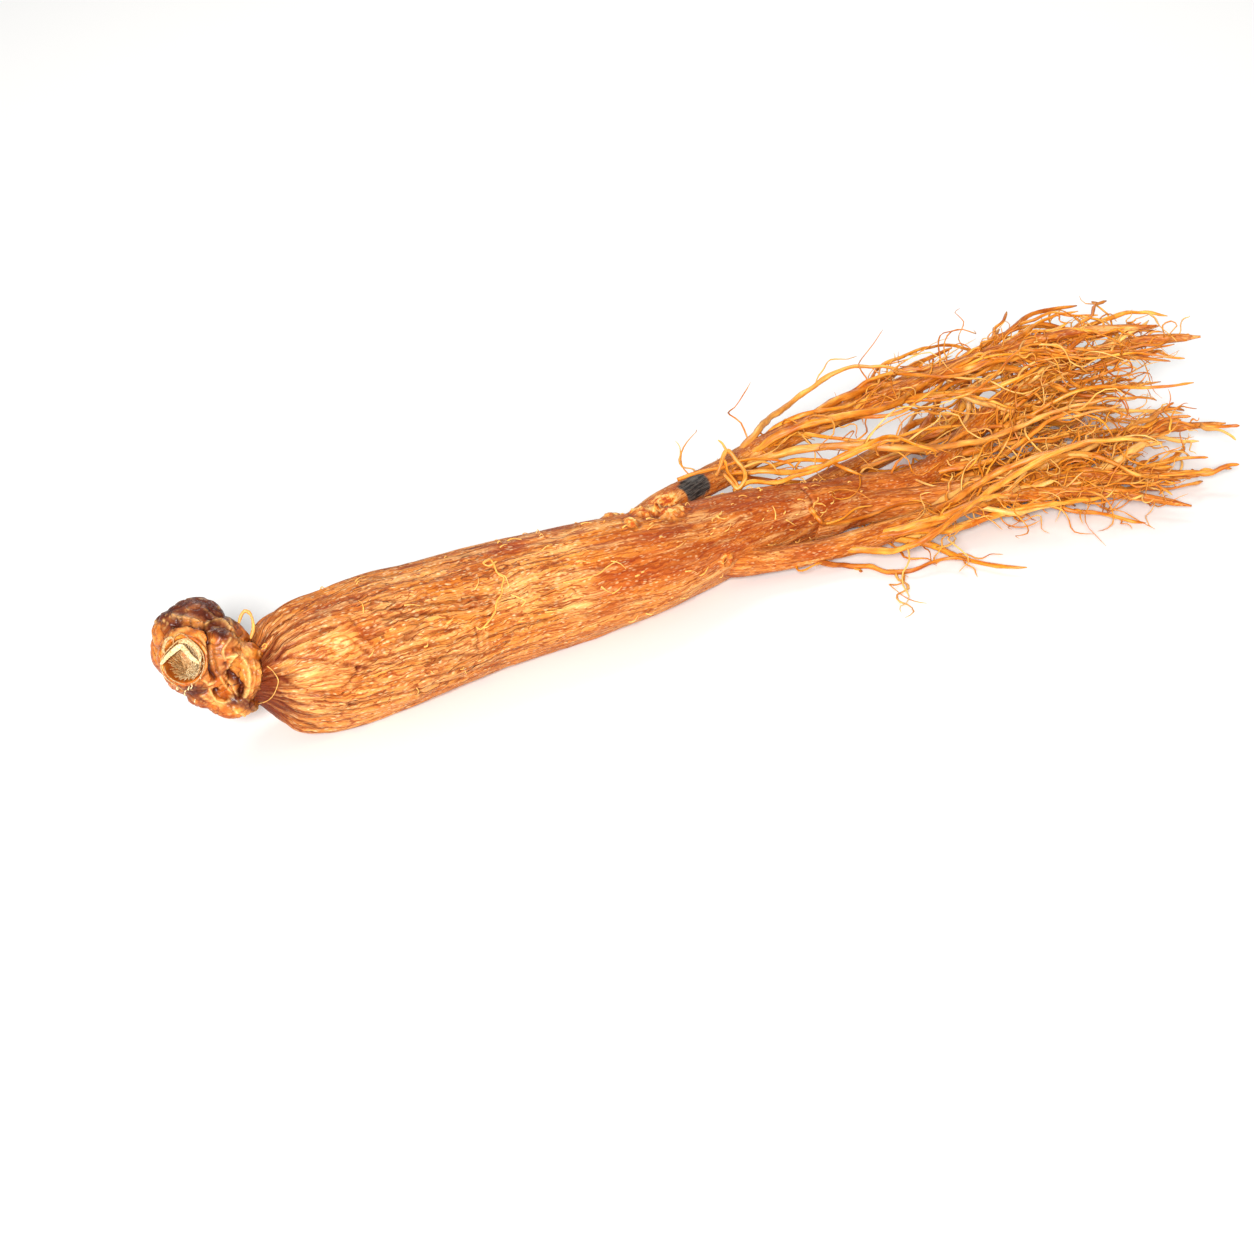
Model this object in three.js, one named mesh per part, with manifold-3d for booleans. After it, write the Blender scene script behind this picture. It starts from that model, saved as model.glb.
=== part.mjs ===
// A dried red ginseng root, whole, lying on its belly: a knobbly rhizome head with a
// stem scar, a long tapering main root with lengthwise folds, six branch roots and the
// rootlets and root hairs that they split into. It grew as one piece, so it is one mesh.
// Millimetres, +Z up, +X from the head to the tail. The origin is the middle of the small
// flat spot of the belly that the root rests on.
import * as THREE from "three";
import { mergeVertices } from "three/addons/utils/BufferGeometryUtils.js";
import Module from "manifold-3d";

const wasm = await Module();
wasm.setup();

// Driving dimensions.
const BELLY_CUT = 0.55; // how far the round belly is flattened where it rests
const ROOT_SKIN = new THREE.Color(0.62, 0.3, 0.12);
const FULL_TURN = 2 * Math.PI;

// Main root: place along the root, sideways shift and radius at each station.
const BODY_STATIONS = [
  [-45.0, 1.2, 2.6],
  [-41.5, 0.4, 4.0],
  [-39.2, 0.0, 6.6],
  [-36.8, 0.0, 9.2],
  [-32.0, 0.0, 10.9],
  [-26.0, 0.0, 11.5],
  [-17.0, -0.3, 11.8],
  [-5.0, -0.2, 11.2],
  [10.0, 0.0, 10.5],
  [28.0, -1.0, 9.8],
  [38.0, -1.6, 9.1],
  [48.0, -0.6, 8.0],
  [62.0, 1.6, 6.8],
  [76.0, 2.8, 5.5],
  [88.0, 2.6, 4.3],
  [96.0, 2.0, 2.8],
];
const BODY_LIFT = 0.9; // how far the thin end's belly stands off the surface
const BODY_SIDES = 36;
const BODY_RINGS = 26;
const FOLD_COUNT = 9; // main lengthwise folds round the root
const FOLD_DEPTH = 0.14;
const PLEAT_DEPTH = 0.42; // deeper where the folds gather at the neck
const NECK_X = -40;
const NECK_HEIGHT = 11.4;

// Branch roots: centreline, radius at the start and at the tip, and how many rootlets.
const BRANCH_ROOTS = {
  tail_upper: {
    route: [
      [76, 3.6, 6.0],
      [90, 2.6, 5.6],
      [99, 0.4, 5.6],
      [108, 1.5, 6.8],
      [118, 4.6, 9.2],
      [130, 6.4, 13],
      [143, 4.6, 17],
      [155, -1, 20],
      [165, -9, 21],
    ],
    thick: 3.7,
    thin: 0.55,
    rootlets: 7,
  },
  tail_lower: {
    route: [
      [76, 1.4, 4.8],
      [89, -1.2, 4.3],
      [101, -5.6, 4.1],
      [113, -8.4, 3.8],
      [124, -13.2, 3.6],
      [134, -18.6, 3.4],
      [143, -24, 3],
      [150, -27, 2.2],
    ],
    thick: 3.3,
    thin: 0.5,
    rootlets: 7,
  },
  tail_middle: {
    route: [
      [82, 2.4, 4.6],
      [97, 1.2, 3.4],
      [110, -0.6, 2.8],
      [124, -2.8, 3.2],
      [138, -7, 4.6],
      [151, -13, 6.4],
      [162, -20, 7],
    ],
    thick: 2.5,
    thin: 0.45,
    rootlets: 5,
  },
  side_front: {
    route: [
      [48, -2.6, 6.4],
      [60, -6.0, 4.2],
      [73, -9.8, 4.0],
      [88, -11.4, 4.3],
      [102, -12.2, 4.5],
      [116, -16.5, 4.4],
      [128, -24, 3.8],
      [138, -36, 2.4],
    ],
    thick: 2.7,
    thin: 0.5,
    rootlets: 6,
  },
  side_back: {
    route: [
      [30, 0.5, 10.5],
      [44, 7.2, 12.4],
      [56, 12, 12.6],
      [66, 14.8, 12.4],
      [76, 17, 13.4],
      [88, 17.4, 14.8],
      [101, 15.6, 16],
      [114, 13, 18.8],
      [128, 9, 22],
      [142, 2, 24.6],
      [155, -7, 25.4],
    ],
    thick: 3.5,
    thin: 0.5,
    rootlets: 7,
  },
  side_low: {
    route: [
      [58, 5, 4.8],
      [75, 10.5, 3.8],
      [93, 15.5, 3.2],
      [111, 18.6, 2.9],
      [128, 18.4, 2.9],
      [145, 14, 2.6],
      [160, 8, 1.8],
    ],
    thick: 2.9,
    thin: 0.45,
    rootlets: 5,
  },
};
const BRANCH_SIDES = 7;
const BRANCH_RINGS = 12;

// Rootlets: thin roots that leave the branch roots and run on towards the tail.
const ROOTLET_SEED = 3;
const ROOTLET_STEPS = 8;
const ROOTLET_SIDES = 4;
const ROOTLET_THICK = 0.95; // largest radius where one starts
const ROOTLET_THIN = 0.32;
const ROOTLET_FIRST = 0.36; // they leave between these shares of the branch root's length
const ROOTLET_LAST = 0.88;
const ROOTLET_SHORTEST = 14;
const FAN_HEADING = THREE.MathUtils.degToRad(-35); // the way the rootlets lean as a whole
const FAN_NEAREST = 98; // they end between these two distances that way
const FAN_FURTHEST = 132;

// Root hairs: short side shoots of the rootlets.
const HAIR_SEED = 77;
const HAIRS_PER_ROOTLET = 1;
const HAIR_STEPS = 4;
const HAIR_SIDES = 3;
const HAIR_THICK = 0.42;
const HAIR_THIN = 0.3;

// Rhizome head: centre and half sizes of each lump along X, Y and Z.
const HEAD_LUMPS = {
  core: { at: [-46.2, 6.4, 15.0], size: [7.6, 7.6, 7.4] },
  scar_lobe: { at: [-50.2, 4.6, 17.0], size: [5.4, 5.4, 6.4] },
  crown: { at: [-47.0, 9.0, 20.6], size: [5.4, 5.0, 4.4] },
  front_lobe: { at: [-45.8, 1.2, 17.6], size: [3.0, 3.0, 5.0] },
  amber_lobe: { at: [-42.4, 0.6, 13.2], size: [4.2, 4.2, 5.6] },
  rim_lobe: { at: [-44.8, 1.2, 9.4], size: [4.8, 4.2, 3.2] },
  shoulder: { at: [-50.0, 10.0, 19.4], size: [3.8, 4.2, 4.0] },
  chin: { at: [-49.0, 3.2, 11.8], size: [3.6, 3.6, 3.4] },
  nape: { at: [-48.4, 12.0, 15.0], size: [5.4, 4.6, 5.4] },
};
const LUMP_SIDES = 12;
const LUMP_RINGS = 8;
const LUMP_ROUGHNESS = 0.1;

// Stem scar: a shallow cup in the head where the old stem stood, with a dry skin rim.
const SCAR_CENTRE = new THREE.Vector3(-53.2, 0.7, 19.4);
const SCAR_FACING = new THREE.Vector3(-0.6, -0.68, 0.42).normalize();
const SCAR_RADIUS = 3.7;
const SCAR_DEPTH = 2.2;
const SCAR_RIM = 0.45;
const STEM_BASE = 4.4; // length of the old stem's base that the scar ends

// Small knobs where thin side roots broke off the main root: place, angle from the top
// towards +Y in degrees, and radius.
const KNOBS = [
  [52, -38, 1.1],
  [57, -104, 1.5],
  [74, -20, 0.9],
  [6, -52, 1.0],
  [-2, 70, 1.3],
  [30, 118, 1.2],
  [34, 24, 1.3],
];

// The same draws in the same order each time.
function randomSource(seed) {
  let state = seed >>> 0;
  return () => {
    state = (Math.imul(state, 1664525) + 1013904223) >>> 0;
    return state / 4294967296;
  };
}

function smoothStep(low, high, value) {
  const share = Math.min(1, Math.max(0, (value - low) / (high - low)));
  return share * share * (3 - 2 * share);
}

function curveThrough(points) {
  const corners = points.map((p) => new THREE.Vector3(...p));
  return new THREE.CatmullRomCurve3(corners, false, "catmullrom", 0.5);
}

// A geometry's triangles as a solid, with the seam and the poles closed.
function solidOf(geometry) {
  const bare = geometry.clone();
  bare.deleteAttribute("normal");
  bare.deleteAttribute("uv");
  const merged = mergeVertices(bare, 1e-4);
  const corners = merged.index.array;
  const kept = [];
  for (let i = 0; i < corners.length; i += 3) {
    const [a, b, c] = corners.subarray(i, i + 3);
    if (a !== b && b !== c && c !== a) kept.push(a, b, c);
  }
  return new wasm.Manifold(
    new wasm.Mesh({
      numProp: 3,
      vertProperties: merged.attributes.position.array,
      triVerts: new Uint32Array(kept),
    }),
  );
}

function joined(solids) {
  return solids.reduce((all, solid) => all.add(solid));
}

// A closed lathe of unit radius and unit length, each vertex then moved by place(angle,
// share along, share of the radius).
function shapedLathe(sides, rings, place) {
  const profile = [new THREE.Vector2(0, 0)];
  for (let i = 0; i < rings; i++) {
    profile.push(new THREE.Vector2(1, i / (rings - 1)));
  }
  profile.push(new THREE.Vector2(0, 1));
  const geometry = new THREE.LatheGeometry(profile, sides);
  const spots = geometry.attributes.position;
  for (let i = 0; i < spots.count; i++) {
    const out = Math.hypot(spots.getX(i), spots.getZ(i));
    const angle = Math.atan2(spots.getX(i), spots.getZ(i));
    const p = place(angle, spots.getY(i), out);
    spots.setXYZ(i, p.x, p.y, p.z);
  }
  return geometry;
}

// A thin root along a curve, with its radius given at each share of the length.
function rodAlong(curve, radiusAt, sides, rings) {
  const up = new THREE.Vector3(0, 0, 1);
  return shapedLathe(sides, rings, (angle, share, out) => {
    const forward = curve.getTangent(share);
    const side = new THREE.Vector3().crossVectors(forward, up).normalize();
    const top = new THREE.Vector3().crossVectors(side, forward);
    const radius = out * radiusAt(share);
    return curve
      .getPoint(share)
      .addScaledVector(side, radius * Math.sin(angle))
      .addScaledVector(top, radius * Math.cos(angle));
  });
}

const bodyCurve = curveThrough(BODY_STATIONS);

// Centre and radius of the main root at a share of its stations.
function bodyAt(share) {
  const station = bodyCurve.getPoint(share);
  const resting = station.z - BELLY_CUT + BODY_LIFT * smoothStep(8, 60, station.x);
  const gathered = 1 - smoothStep(NECK_X + 6, NECK_X + 16, station.x);
  return {
    x: station.x,
    y: station.y,
    z: resting + (NECK_HEIGHT - resting) * gathered,
    radius: station.z,
  };
}

// How far the skin stands out at a place along the root and an angle round it.
function bodyRelief(x, angle) {
  const out =
    0.3 * Math.sin(2 * angle + 0.6 + 0.02 * x) +
    0.26 * Math.sin(3 * angle + 1.7 - 0.035 * x) +
    0.2 * Math.sin(0.13 * x + 2 * Math.sin(angle));
  const drift = 0.9 * Math.sin(0.045 * x) + 0.5 * Math.sin(0.11 * x + angle);
  const gather = 1 - smoothStep(NECK_X, NECK_X + 16, x);
  const depth = FOLD_DEPTH + PLEAT_DEPTH * gather;
  const ends = smoothStep(-42, -36, x) * (1 - smoothStep(80, 94, x));
  const belly = 1 - smoothStep(0.86, 0.97, -Math.cos(angle));
  const folds = depth * Math.sin(FOLD_COUNT * angle + drift * (1 - gather));
  return ends * belly * (out + folds);
}

// A point of the main root's skin, at angle from the top towards +Y.
function skinPoint(share, angle, sink) {
  const middle = bodyAt(share);
  const radius = middle.radius + bodyRelief(middle.x, angle) - sink;
  return new THREE.Vector3(
    middle.x,
    middle.y + radius * Math.sin(angle),
    middle.z + radius * Math.cos(angle),
  );
}

// The lathe's angle runs the other way round than the skin's, so it is turned round.
function mainRoot() {
  return shapedLathe(BODY_SIDES, BODY_RINGS, (angle, share, out) => {
    const middle = bodyAt(share);
    const radius = out * (middle.radius + bodyRelief(middle.x, -angle));
    return new THREE.Vector3(
      middle.x,
      middle.y - radius * Math.sin(angle),
      middle.z + radius * Math.cos(angle),
    );
  });
}

function taper(thick, thin, power) {
  return (share) => thin + (thick - thin) * Math.pow(1 - share, power);
}

// A branch root swells where it leaves the main root.
function branchRadius(branch) {
  const even = taper(branch.thick, branch.thin, 0.8);
  return (share) => even(share) * (1 + 0.25 * (1 - smoothStep(0, 0.16, share)));
}

function branchRoot(branch) {
  const curve = curveThrough(branch.route);
  return rodAlong(curve, branchRadius(branch), BRANCH_SIDES, BRANCH_RINGS);
}

function headingOf(direction) {
  return {
    yaw: Math.atan2(direction.y, direction.x),
    pitch: Math.asin(direction.z / direction.length()),
  };
}

// Points of a thin root that turns from one heading to another in uneven waves and
// never goes into the surface that the root lies on.
function wander(start, from, to, length, steps, radius, sway, draw) {
  const turns = 0.8 + 1.3 * draw();
  const phase = FULL_TURN * draw();
  const riseTurns = 0.6 + 1.1 * draw();
  const risePhase = FULL_TURN * draw();
  const spot = start.clone();
  const points = [spot.toArray()];
  for (let i = 1; i <= steps; i++) {
    const share = i / steps;
    const grown = Math.min(1, 3 * share);
    const swing = sway * grown * Math.sin(FULL_TURN * turns * share + phase);
    const heave = sway * 0.6 * grown * Math.sin(FULL_TURN * riseTurns * share + risePhase);
    const yaw = from.yaw + (to.yaw - from.yaw) * Math.min(1, 1.6 * share) + swing;
    const pitch = from.pitch + (to.pitch - from.pitch) * share + heave;
    spot.x += (length / steps) * Math.cos(pitch) * Math.cos(yaw);
    spot.y += (length / steps) * Math.cos(pitch) * Math.sin(yaw);
    spot.z += (length / steps) * Math.sin(pitch);
    spot.z = Math.max(spot.z, radius + 0.05);
    points.push(spot.toArray());
  }
  return points;
}

// Every rootlet's points and its radius at the start.
function rootletPlan() {
  const draw = randomSource(ROOTLET_SEED);
  const plan = [];
  for (const branch of Object.values(BRANCH_ROOTS)) {
    const curve = curveThrough(branch.route);
    const radiusAt = branchRadius(branch);
    for (let i = 0; i < branch.rootlets; i++) {
      const span = ROOTLET_LAST - ROOTLET_FIRST;
      const share = ROOTLET_FIRST + (span * (i + 0.8 * draw())) / branch.rootlets;
      const start = curve.getPoint(share);
      const along = headingOf(curve.getTangent(share));
      const turn = (i % 2 ? 1 : -1) * (0.16 + 0.34 * draw());
      const from = { yaw: along.yaw + turn, pitch: along.pitch + 0.3 * (draw() - 0.45) };
      const to = { yaw: along.yaw * 0.5 + turn * 0.7, pitch: 0.34 * (draw() - 0.42) };
      const gone = start.x * Math.cos(FAN_HEADING) + start.y * Math.sin(FAN_HEADING);
      const end = FAN_NEAREST + (FAN_FURTHEST - FAN_NEAREST) * draw();
      const length = Math.max(ROOTLET_SHORTEST, (end - gone) * 1.08);
      const radius = Math.min(ROOTLET_THICK, 0.62 * radiusAt(share)) * (0.72 + 0.28 * draw());
      plan.push({
        points: wander(start, from, to, length, ROOTLET_STEPS, radius, 0.3, draw),
        radius,
      });
    }
  }
  return plan;
}

function rootlet(planned) {
  const curve = curveThrough(planned.points);
  const radiusAt = taper(planned.radius, ROOTLET_THIN, 0.8);
  return rodAlong(curve, radiusAt, ROOTLET_SIDES, ROOTLET_STEPS + 1);
}

// Short hairs that leave the rootlets on alternate sides.
function rootHairs(plan) {
  const draw = randomSource(HAIR_SEED);
  const hairs = [];
  plan.forEach((planned, number) => {
    const curve = curveThrough(planned.points);
    for (let i = 0; i < HAIRS_PER_ROOTLET; i++) {
      const share = 0.3 + 0.5 * draw();
      const along = headingOf(curve.getTangent(share));
      const turn = (number % 2 ? 1 : -1) * (0.5 + 0.5 * draw());
      const from = { yaw: along.yaw + turn, pitch: along.pitch + 0.5 * (draw() - 0.4) };
      const to = { yaw: along.yaw + 0.5 * turn, pitch: 0.5 * (draw() - 0.4) };
      const length = 7 + 10 * draw();
      const points = wander(
        curve.getPoint(share), from, to, length, HAIR_STEPS, HAIR_THICK, 0.35, draw,
      );
      const radiusAt = taper(HAIR_THICK, HAIR_THIN, 1);
      hairs.push(rodAlong(curveThrough(points), radiusAt, HAIR_SIDES, HAIR_STEPS + 1));
    }
  });
  return hairs;
}

// A rounded lump whose skin rises and falls a little.
function headLump(lump, number) {
  const geometry = new THREE.SphereGeometry(1, LUMP_SIDES, LUMP_RINGS);
  const spots = geometry.attributes.position;
  for (let i = 0; i < spots.count; i++) {
    const [x, y, z] = [spots.getX(i), spots.getY(i), spots.getZ(i)];
    const wave =
      Math.sin(3.1 * x + 1.7 * number) * Math.sin(2.7 * y + number) +
      Math.sin(4.3 * z - 2.2 * number + 2 * x);
    const out = 1 + LUMP_ROUGHNESS * wave;
    spots.setXYZ(
      i,
      lump.at[0] + lump.size[0] * x * out,
      lump.at[1] + lump.size[1] * y * out,
      lump.at[2] + lump.size[2] * z * out,
    );
  }
  return geometry;
}

// The stem scar's cup, to be cut out of the old stem's base, and the rim round its mouth.
function scarCup() {
  const cup = new THREE.SphereGeometry(1, 16, 8);
  cup.scale(SCAR_RADIUS, SCAR_RADIUS, SCAR_DEPTH);
  return aimedAtScar(cup, 0.3);
}

function stemBase() {
  const wide = SCAR_RADIUS + SCAR_RIM;
  const profile = [
    new THREE.Vector2(0, -STEM_BASE),
    new THREE.Vector2(0.8 * wide, -STEM_BASE),
    new THREE.Vector2(wide, 0),
    new THREE.Vector2(0, 0),
  ];
  return aimedAtScar(new THREE.LatheGeometry(profile, 16).rotateX(Math.PI / 2), 0);
}

function scarRim() {
  return aimedAtScar(new THREE.TorusGeometry(SCAR_RADIUS, SCAR_RIM, 5, 18), -0.1);
}

function aimedAtScar(geometry, outwards) {
  const ahead = new THREE.Vector3(0, 0, 1);
  const turn = new THREE.Quaternion().setFromUnitVectors(ahead, SCAR_FACING);
  const at = SCAR_CENTRE.clone().addScaledVector(SCAR_FACING, outwards);
  return geometry.applyQuaternion(turn).translate(at.x, at.y, at.z);
}

function knob([x, degrees, radius]) {
  let share = 0;
  while (bodyAt(share).x < x) share += 0.002;
  const at = skinPoint(share, THREE.MathUtils.degToRad(degrees), 0.3 * radius);
  return new THREE.SphereGeometry(radius, 8, 6).translate(at.x, at.y, at.z);
}

// All below the surface that the root lies on.
function belowSurface() {
  const block = new THREE.BoxGeometry(400, 300, 20);
  return solidOf(block.translate(40, 0, -10));
}

function ginsengRoot() {
  const plan = rootletPlan();
  const lumps = Object.values(HEAD_LUMPS).map((lump, i) => solidOf(headLump(lump, i)));
  const head = joined([...lumps, solidOf(stemBase())])
    .subtract(solidOf(scarCup()))
    .add(solidOf(scarRim()));
  const grown = [
    mainRoot(),
    ...Object.values(BRANCH_ROOTS).map(branchRoot),
    ...plan.map(rootlet),
    ...rootHairs(plan),
    ...KNOBS.map(knob),
  ].map(solidOf);
  return joined([head, ...grown]).subtract(belowSurface());
}

function meshOf(solid, name, colour) {
  const made = solid.getMesh();
  const geometry = new THREE.BufferGeometry();
  geometry.setAttribute("position", new THREE.BufferAttribute(made.vertProperties, 3));
  geometry.setIndex(new THREE.BufferAttribute(made.triVerts, 1));
  geometry.computeVertexNormals();
  const material = new THREE.MeshStandardMaterial({
    color: colour,
    roughness: 0.6,
    metalness: 0,
  });
  const mesh = new THREE.Mesh(geometry, material);
  mesh.name = name;
  return mesh;
}

const root = new THREE.Group();
root.add(meshOf(ginsengRoot(), "ginseng_root", ROOT_SKIN));
export default root;
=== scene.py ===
"""A dried red ginseng root, whole, lying on its belly.

A knobbly rhizome head with a stem scar, a long wrinkled main root, six branch roots and the
rootlets and root hairs that they split into. It grew as one piece, so every piece here
stands for the same node. All sizes are in millimetres until a mesh is made.
"""
import itertools
import math

import bmesh
import bpy
import numpy as np
from mathutils import Matrix, Vector


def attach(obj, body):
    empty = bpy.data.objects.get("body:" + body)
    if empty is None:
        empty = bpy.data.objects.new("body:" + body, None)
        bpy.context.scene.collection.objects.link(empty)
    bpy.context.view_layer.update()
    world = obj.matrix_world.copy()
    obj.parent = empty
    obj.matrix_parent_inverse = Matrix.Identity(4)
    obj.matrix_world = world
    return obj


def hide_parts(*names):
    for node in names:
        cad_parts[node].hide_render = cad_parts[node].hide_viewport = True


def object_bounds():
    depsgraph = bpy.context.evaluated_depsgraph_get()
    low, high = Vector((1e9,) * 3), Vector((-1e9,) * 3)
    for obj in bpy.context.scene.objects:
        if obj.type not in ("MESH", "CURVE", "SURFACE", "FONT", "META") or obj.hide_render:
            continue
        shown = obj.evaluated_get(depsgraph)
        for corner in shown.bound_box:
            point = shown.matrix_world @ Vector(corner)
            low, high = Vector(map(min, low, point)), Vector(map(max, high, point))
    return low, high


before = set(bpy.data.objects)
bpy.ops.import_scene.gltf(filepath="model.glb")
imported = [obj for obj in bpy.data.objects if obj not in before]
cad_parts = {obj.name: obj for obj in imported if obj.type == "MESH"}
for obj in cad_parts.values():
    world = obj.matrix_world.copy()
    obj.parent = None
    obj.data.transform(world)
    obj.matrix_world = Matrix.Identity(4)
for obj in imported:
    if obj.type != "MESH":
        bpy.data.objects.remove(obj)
cad_low, cad_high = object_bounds()

MM = 0.001
FULL_TURN = 2 * math.pi
LOW = np.array(cad_low) / MM
HIGH = np.array(cad_high) / MM

# ---------------------------------------------------------------- viewpoint
# The photo's viewpoint: a short telephoto lens, low and from the front left.
VIEW_AZIMUTH = math.radians(-32.659)
VIEW_HEIGHT = math.radians(28.0)
VIEW_ROLL = math.radians(3.0)
VIEW_TARGET = Vector((19.82, -20.90, 10.0))
VIEW_DISTANCE = 510.27
LENS = 85.0
SENSOR = 36.0

back = Vector(
    (
        math.sin(VIEW_AZIMUTH) * math.cos(VIEW_HEIGHT),
        -math.cos(VIEW_AZIMUTH) * math.cos(VIEW_HEIGHT),
        math.sin(VIEW_HEIGHT),
    )
)
level = Vector((math.cos(VIEW_AZIMUTH), math.sin(VIEW_AZIMUTH), 0))
rise = back.cross(level)
view_right = math.cos(VIEW_ROLL) * level - math.sin(VIEW_ROLL) * rise
view_up = math.sin(VIEW_ROLL) * level + math.cos(VIEW_ROLL) * rise
eye = VIEW_TARGET + back * VIEW_DISTANCE


def make_camera():
    camera = bpy.data.cameras.new("camera")
    camera.lens = LENS
    camera.sensor_width = SENSOR
    camera.clip_start = 0.01
    camera.clip_end = 20
    holder = bpy.data.objects.new("camera", camera)
    bpy.context.collection.objects.link(holder)
    place = Matrix((view_right, view_up, back)).transposed().to_4x4()
    place.translation = eye * MM
    holder.matrix_world = place
    bpy.context.scene.camera = holder


# ---------------------------------------------------------------- small helpers
def linear(code):
    """A hex colour as linear red, green, blue and alpha."""
    parts = [int(code[i : i + 2], 16) / 255 for i in (1, 3, 5)]
    return [p / 12.92 if p <= 0.04045 else ((p + 0.055) / 1.055) ** 2.4 for p in parts] + [1]


def smooth_step(low, high, value):
    share = np.clip((value - low) / (high - low), 0, 1)
    return share * share * (3 - 2 * share)


def hump(value, width):
    """1 where value is 0, falling to 0 over about twice the width."""
    return np.exp(-((value / width) ** 2))


def draws(seed):
    """The same draws in the same order each time."""
    state = seed

    def draw():
        nonlocal state
        state = (state * 1664525 + 1013904223) % 4294967296
        return state / 4294967296

    return draw


LATTICE = np.random.default_rng(7)
LATTICE_ORDER = LATTICE.permutation(256)
LATTICE_SLOPES = LATTICE.normal(size=(256, 3))
LATTICE_SLOPES /= np.linalg.norm(LATTICE_SLOPES, axis=1)[:, None]


def ripple(x, y, z, seed=0):
    """Smooth waves from about -1 to 1 in space, one to a unit of length."""
    points = np.stack(np.broadcast_arrays(x, y, z), axis=-1).reshape(-1, 3)
    cell = np.floor(points).astype(int)
    part = points - cell
    ease = part**3 * (part * (part * 6 - 15) + 10)
    total = np.zeros(len(points))
    for corner in itertools.product((0, 1), repeat=3):
        spot = (cell + corner) & 255
        pick = LATTICE_ORDER[(spot[:, 0] + seed) & 255]
        pick = LATTICE_ORDER[(pick + spot[:, 1]) & 255]
        pick = LATTICE_ORDER[(pick + spot[:, 2]) & 255]
        height = np.einsum("ij,ij->i", LATTICE_SLOPES[pick], part - corner)
        total += height * np.prod(np.where(corner, ease, 1 - ease), axis=1)
    return total * 1.6


def through(points, share):
    """Places at shares of the length of a smooth curve through the points."""
    points = np.asarray(points, float)
    share = np.atleast_1d(share)
    last = len(points) - 1
    start = np.minimum(np.floor(last * share).astype(int), last - 1)
    w = (last * share - start)[:, None]
    padded = np.vstack([2 * points[0] - points[1], points, 2 * points[-1] - points[-2]])
    a, b, c, d = (padded[start + i] for i in range(4))
    leave, arrive = 0.5 * (c - a), 0.5 * (d - b)
    bend = -3 * b + 3 * c - 2 * leave - arrive
    return b + leave * w + bend * w**2 + (2 * b - 2 * c + leave + arrive) * w**3


def forward_of(points, share):
    share = np.atleast_1d(share)
    ahead = through(points, np.minimum(share + 1e-4, 1))
    behind = through(points, np.maximum(share - 1e-4, 0))
    step = ahead - behind
    return step / np.linalg.norm(step, axis=1)[:, None]


def length_of(points):
    walk = through(points, np.linspace(0, 1, 60))
    return np.linalg.norm(np.diff(walk, axis=0), axis=1).sum()


def line_distance(u, v, path):
    """Distance from each place to a bent line in the same plane."""
    best = np.full(np.shape(u), 1e9)
    for (u0, v0), (u1, v1) in zip(path, path[1:]):
        du, dv = u1 - u0, v1 - v0
        t = np.clip(((u - u0) * du + (v - v0) * dv) / max(du * du + dv * dv, 1e-9), 0, 1)
        best = np.minimum(best, np.hypot(u - u0 - t * du, v - v0 - t * dv))
    return best


# ---------------------------------------------------------------- modelling helpers
def clear_selection():
    if bpy.context.object and bpy.context.object.mode != "OBJECT":
        bpy.ops.object.mode_set(mode="OBJECT")
    bpy.ops.object.select_all(action="DESELECT")


TIP_ROUNDING = 0.6


def round_bar(sides, *cuts):
    """Corners and faces of a closed round bar, unit radius, from 0 to 1 along Z."""
    clear_selection()
    bpy.ops.mesh.primitive_cylinder_add(
        vertices=sides, radius=1, depth=1, end_fill_type="TRIFAN", location=(0, 0, 0)
    )
    bar = bpy.context.object
    bpy.ops.object.mode_set(mode="EDIT")
    for count in cuts:
        bpy.ops.mesh.select_mode(type="EDGE")
        bpy.ops.mesh.select_all(action="DESELECT")
        shape = bmesh.from_edit_mesh(bar.data)
        for edge in shape.edges:
            if abs(edge.verts[0].co.z - edge.verts[1].co.z) > 1e-6:
                edge.select_set(True)
        bmesh.update_edit_mesh(bar.data)
        bpy.ops.mesh.subdivide(number_cuts=count)
    bpy.ops.object.mode_set(mode="OBJECT")
    corners = corners_of(bar.data)
    corners[:, 2] += 0.5
    faces = [tuple(face.vertices) for face in bar.data.polygons]
    bpy.data.objects.remove(bar)
    return corners, faces


def corners_of(mesh):
    flat = np.zeros(len(mesh.vertices) * 3)
    mesh.vertices.foreach_get("co", flat)
    return flat.reshape(-1, 3)


def make_piece(name, corners, faces, paints=None):
    """A piece from corners in millimetres, with a value of each paint at each corner."""
    mesh = bpy.data.meshes.new(name)
    mesh.from_pydata((np.asarray(corners) * MM).tolist(), [], faces)
    piece = bpy.data.objects.new(name, mesh)
    bpy.context.collection.objects.link(piece)
    paint(piece, paints or {})
    return piece


def paint(piece, paints):
    mesh = piece.data
    for name, values in paints.items():
        values = np.asarray(values, np.float32)
        if values.ndim == 2:
            layer = mesh.attributes.new(name, "FLOAT_VECTOR", "POINT")
            layer.data.foreach_set("vector", values.ravel())
        else:
            layer = mesh.attributes.new(name, "FLOAT", "POINT")
            layer.data.foreach_set("value", values)
    mesh.polygons.foreach_set("use_smooth", np.ones(len(mesh.polygons), bool))
    mesh.update()


def lay_along(bar, route, facing):
    """The levels of a bar, each corner's level, and the route's middle, side and top there."""
    levels, where = np.unique(np.round(bar[0][:, 2], 6), return_inverse=True)
    forward = forward_of(route, levels)
    side = np.cross(forward, facing)
    side /= np.linalg.norm(side, axis=1)[:, None]
    top = np.cross(side, forward)
    return levels, where, through(route, levels)[where], side[where], top[where]


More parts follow.
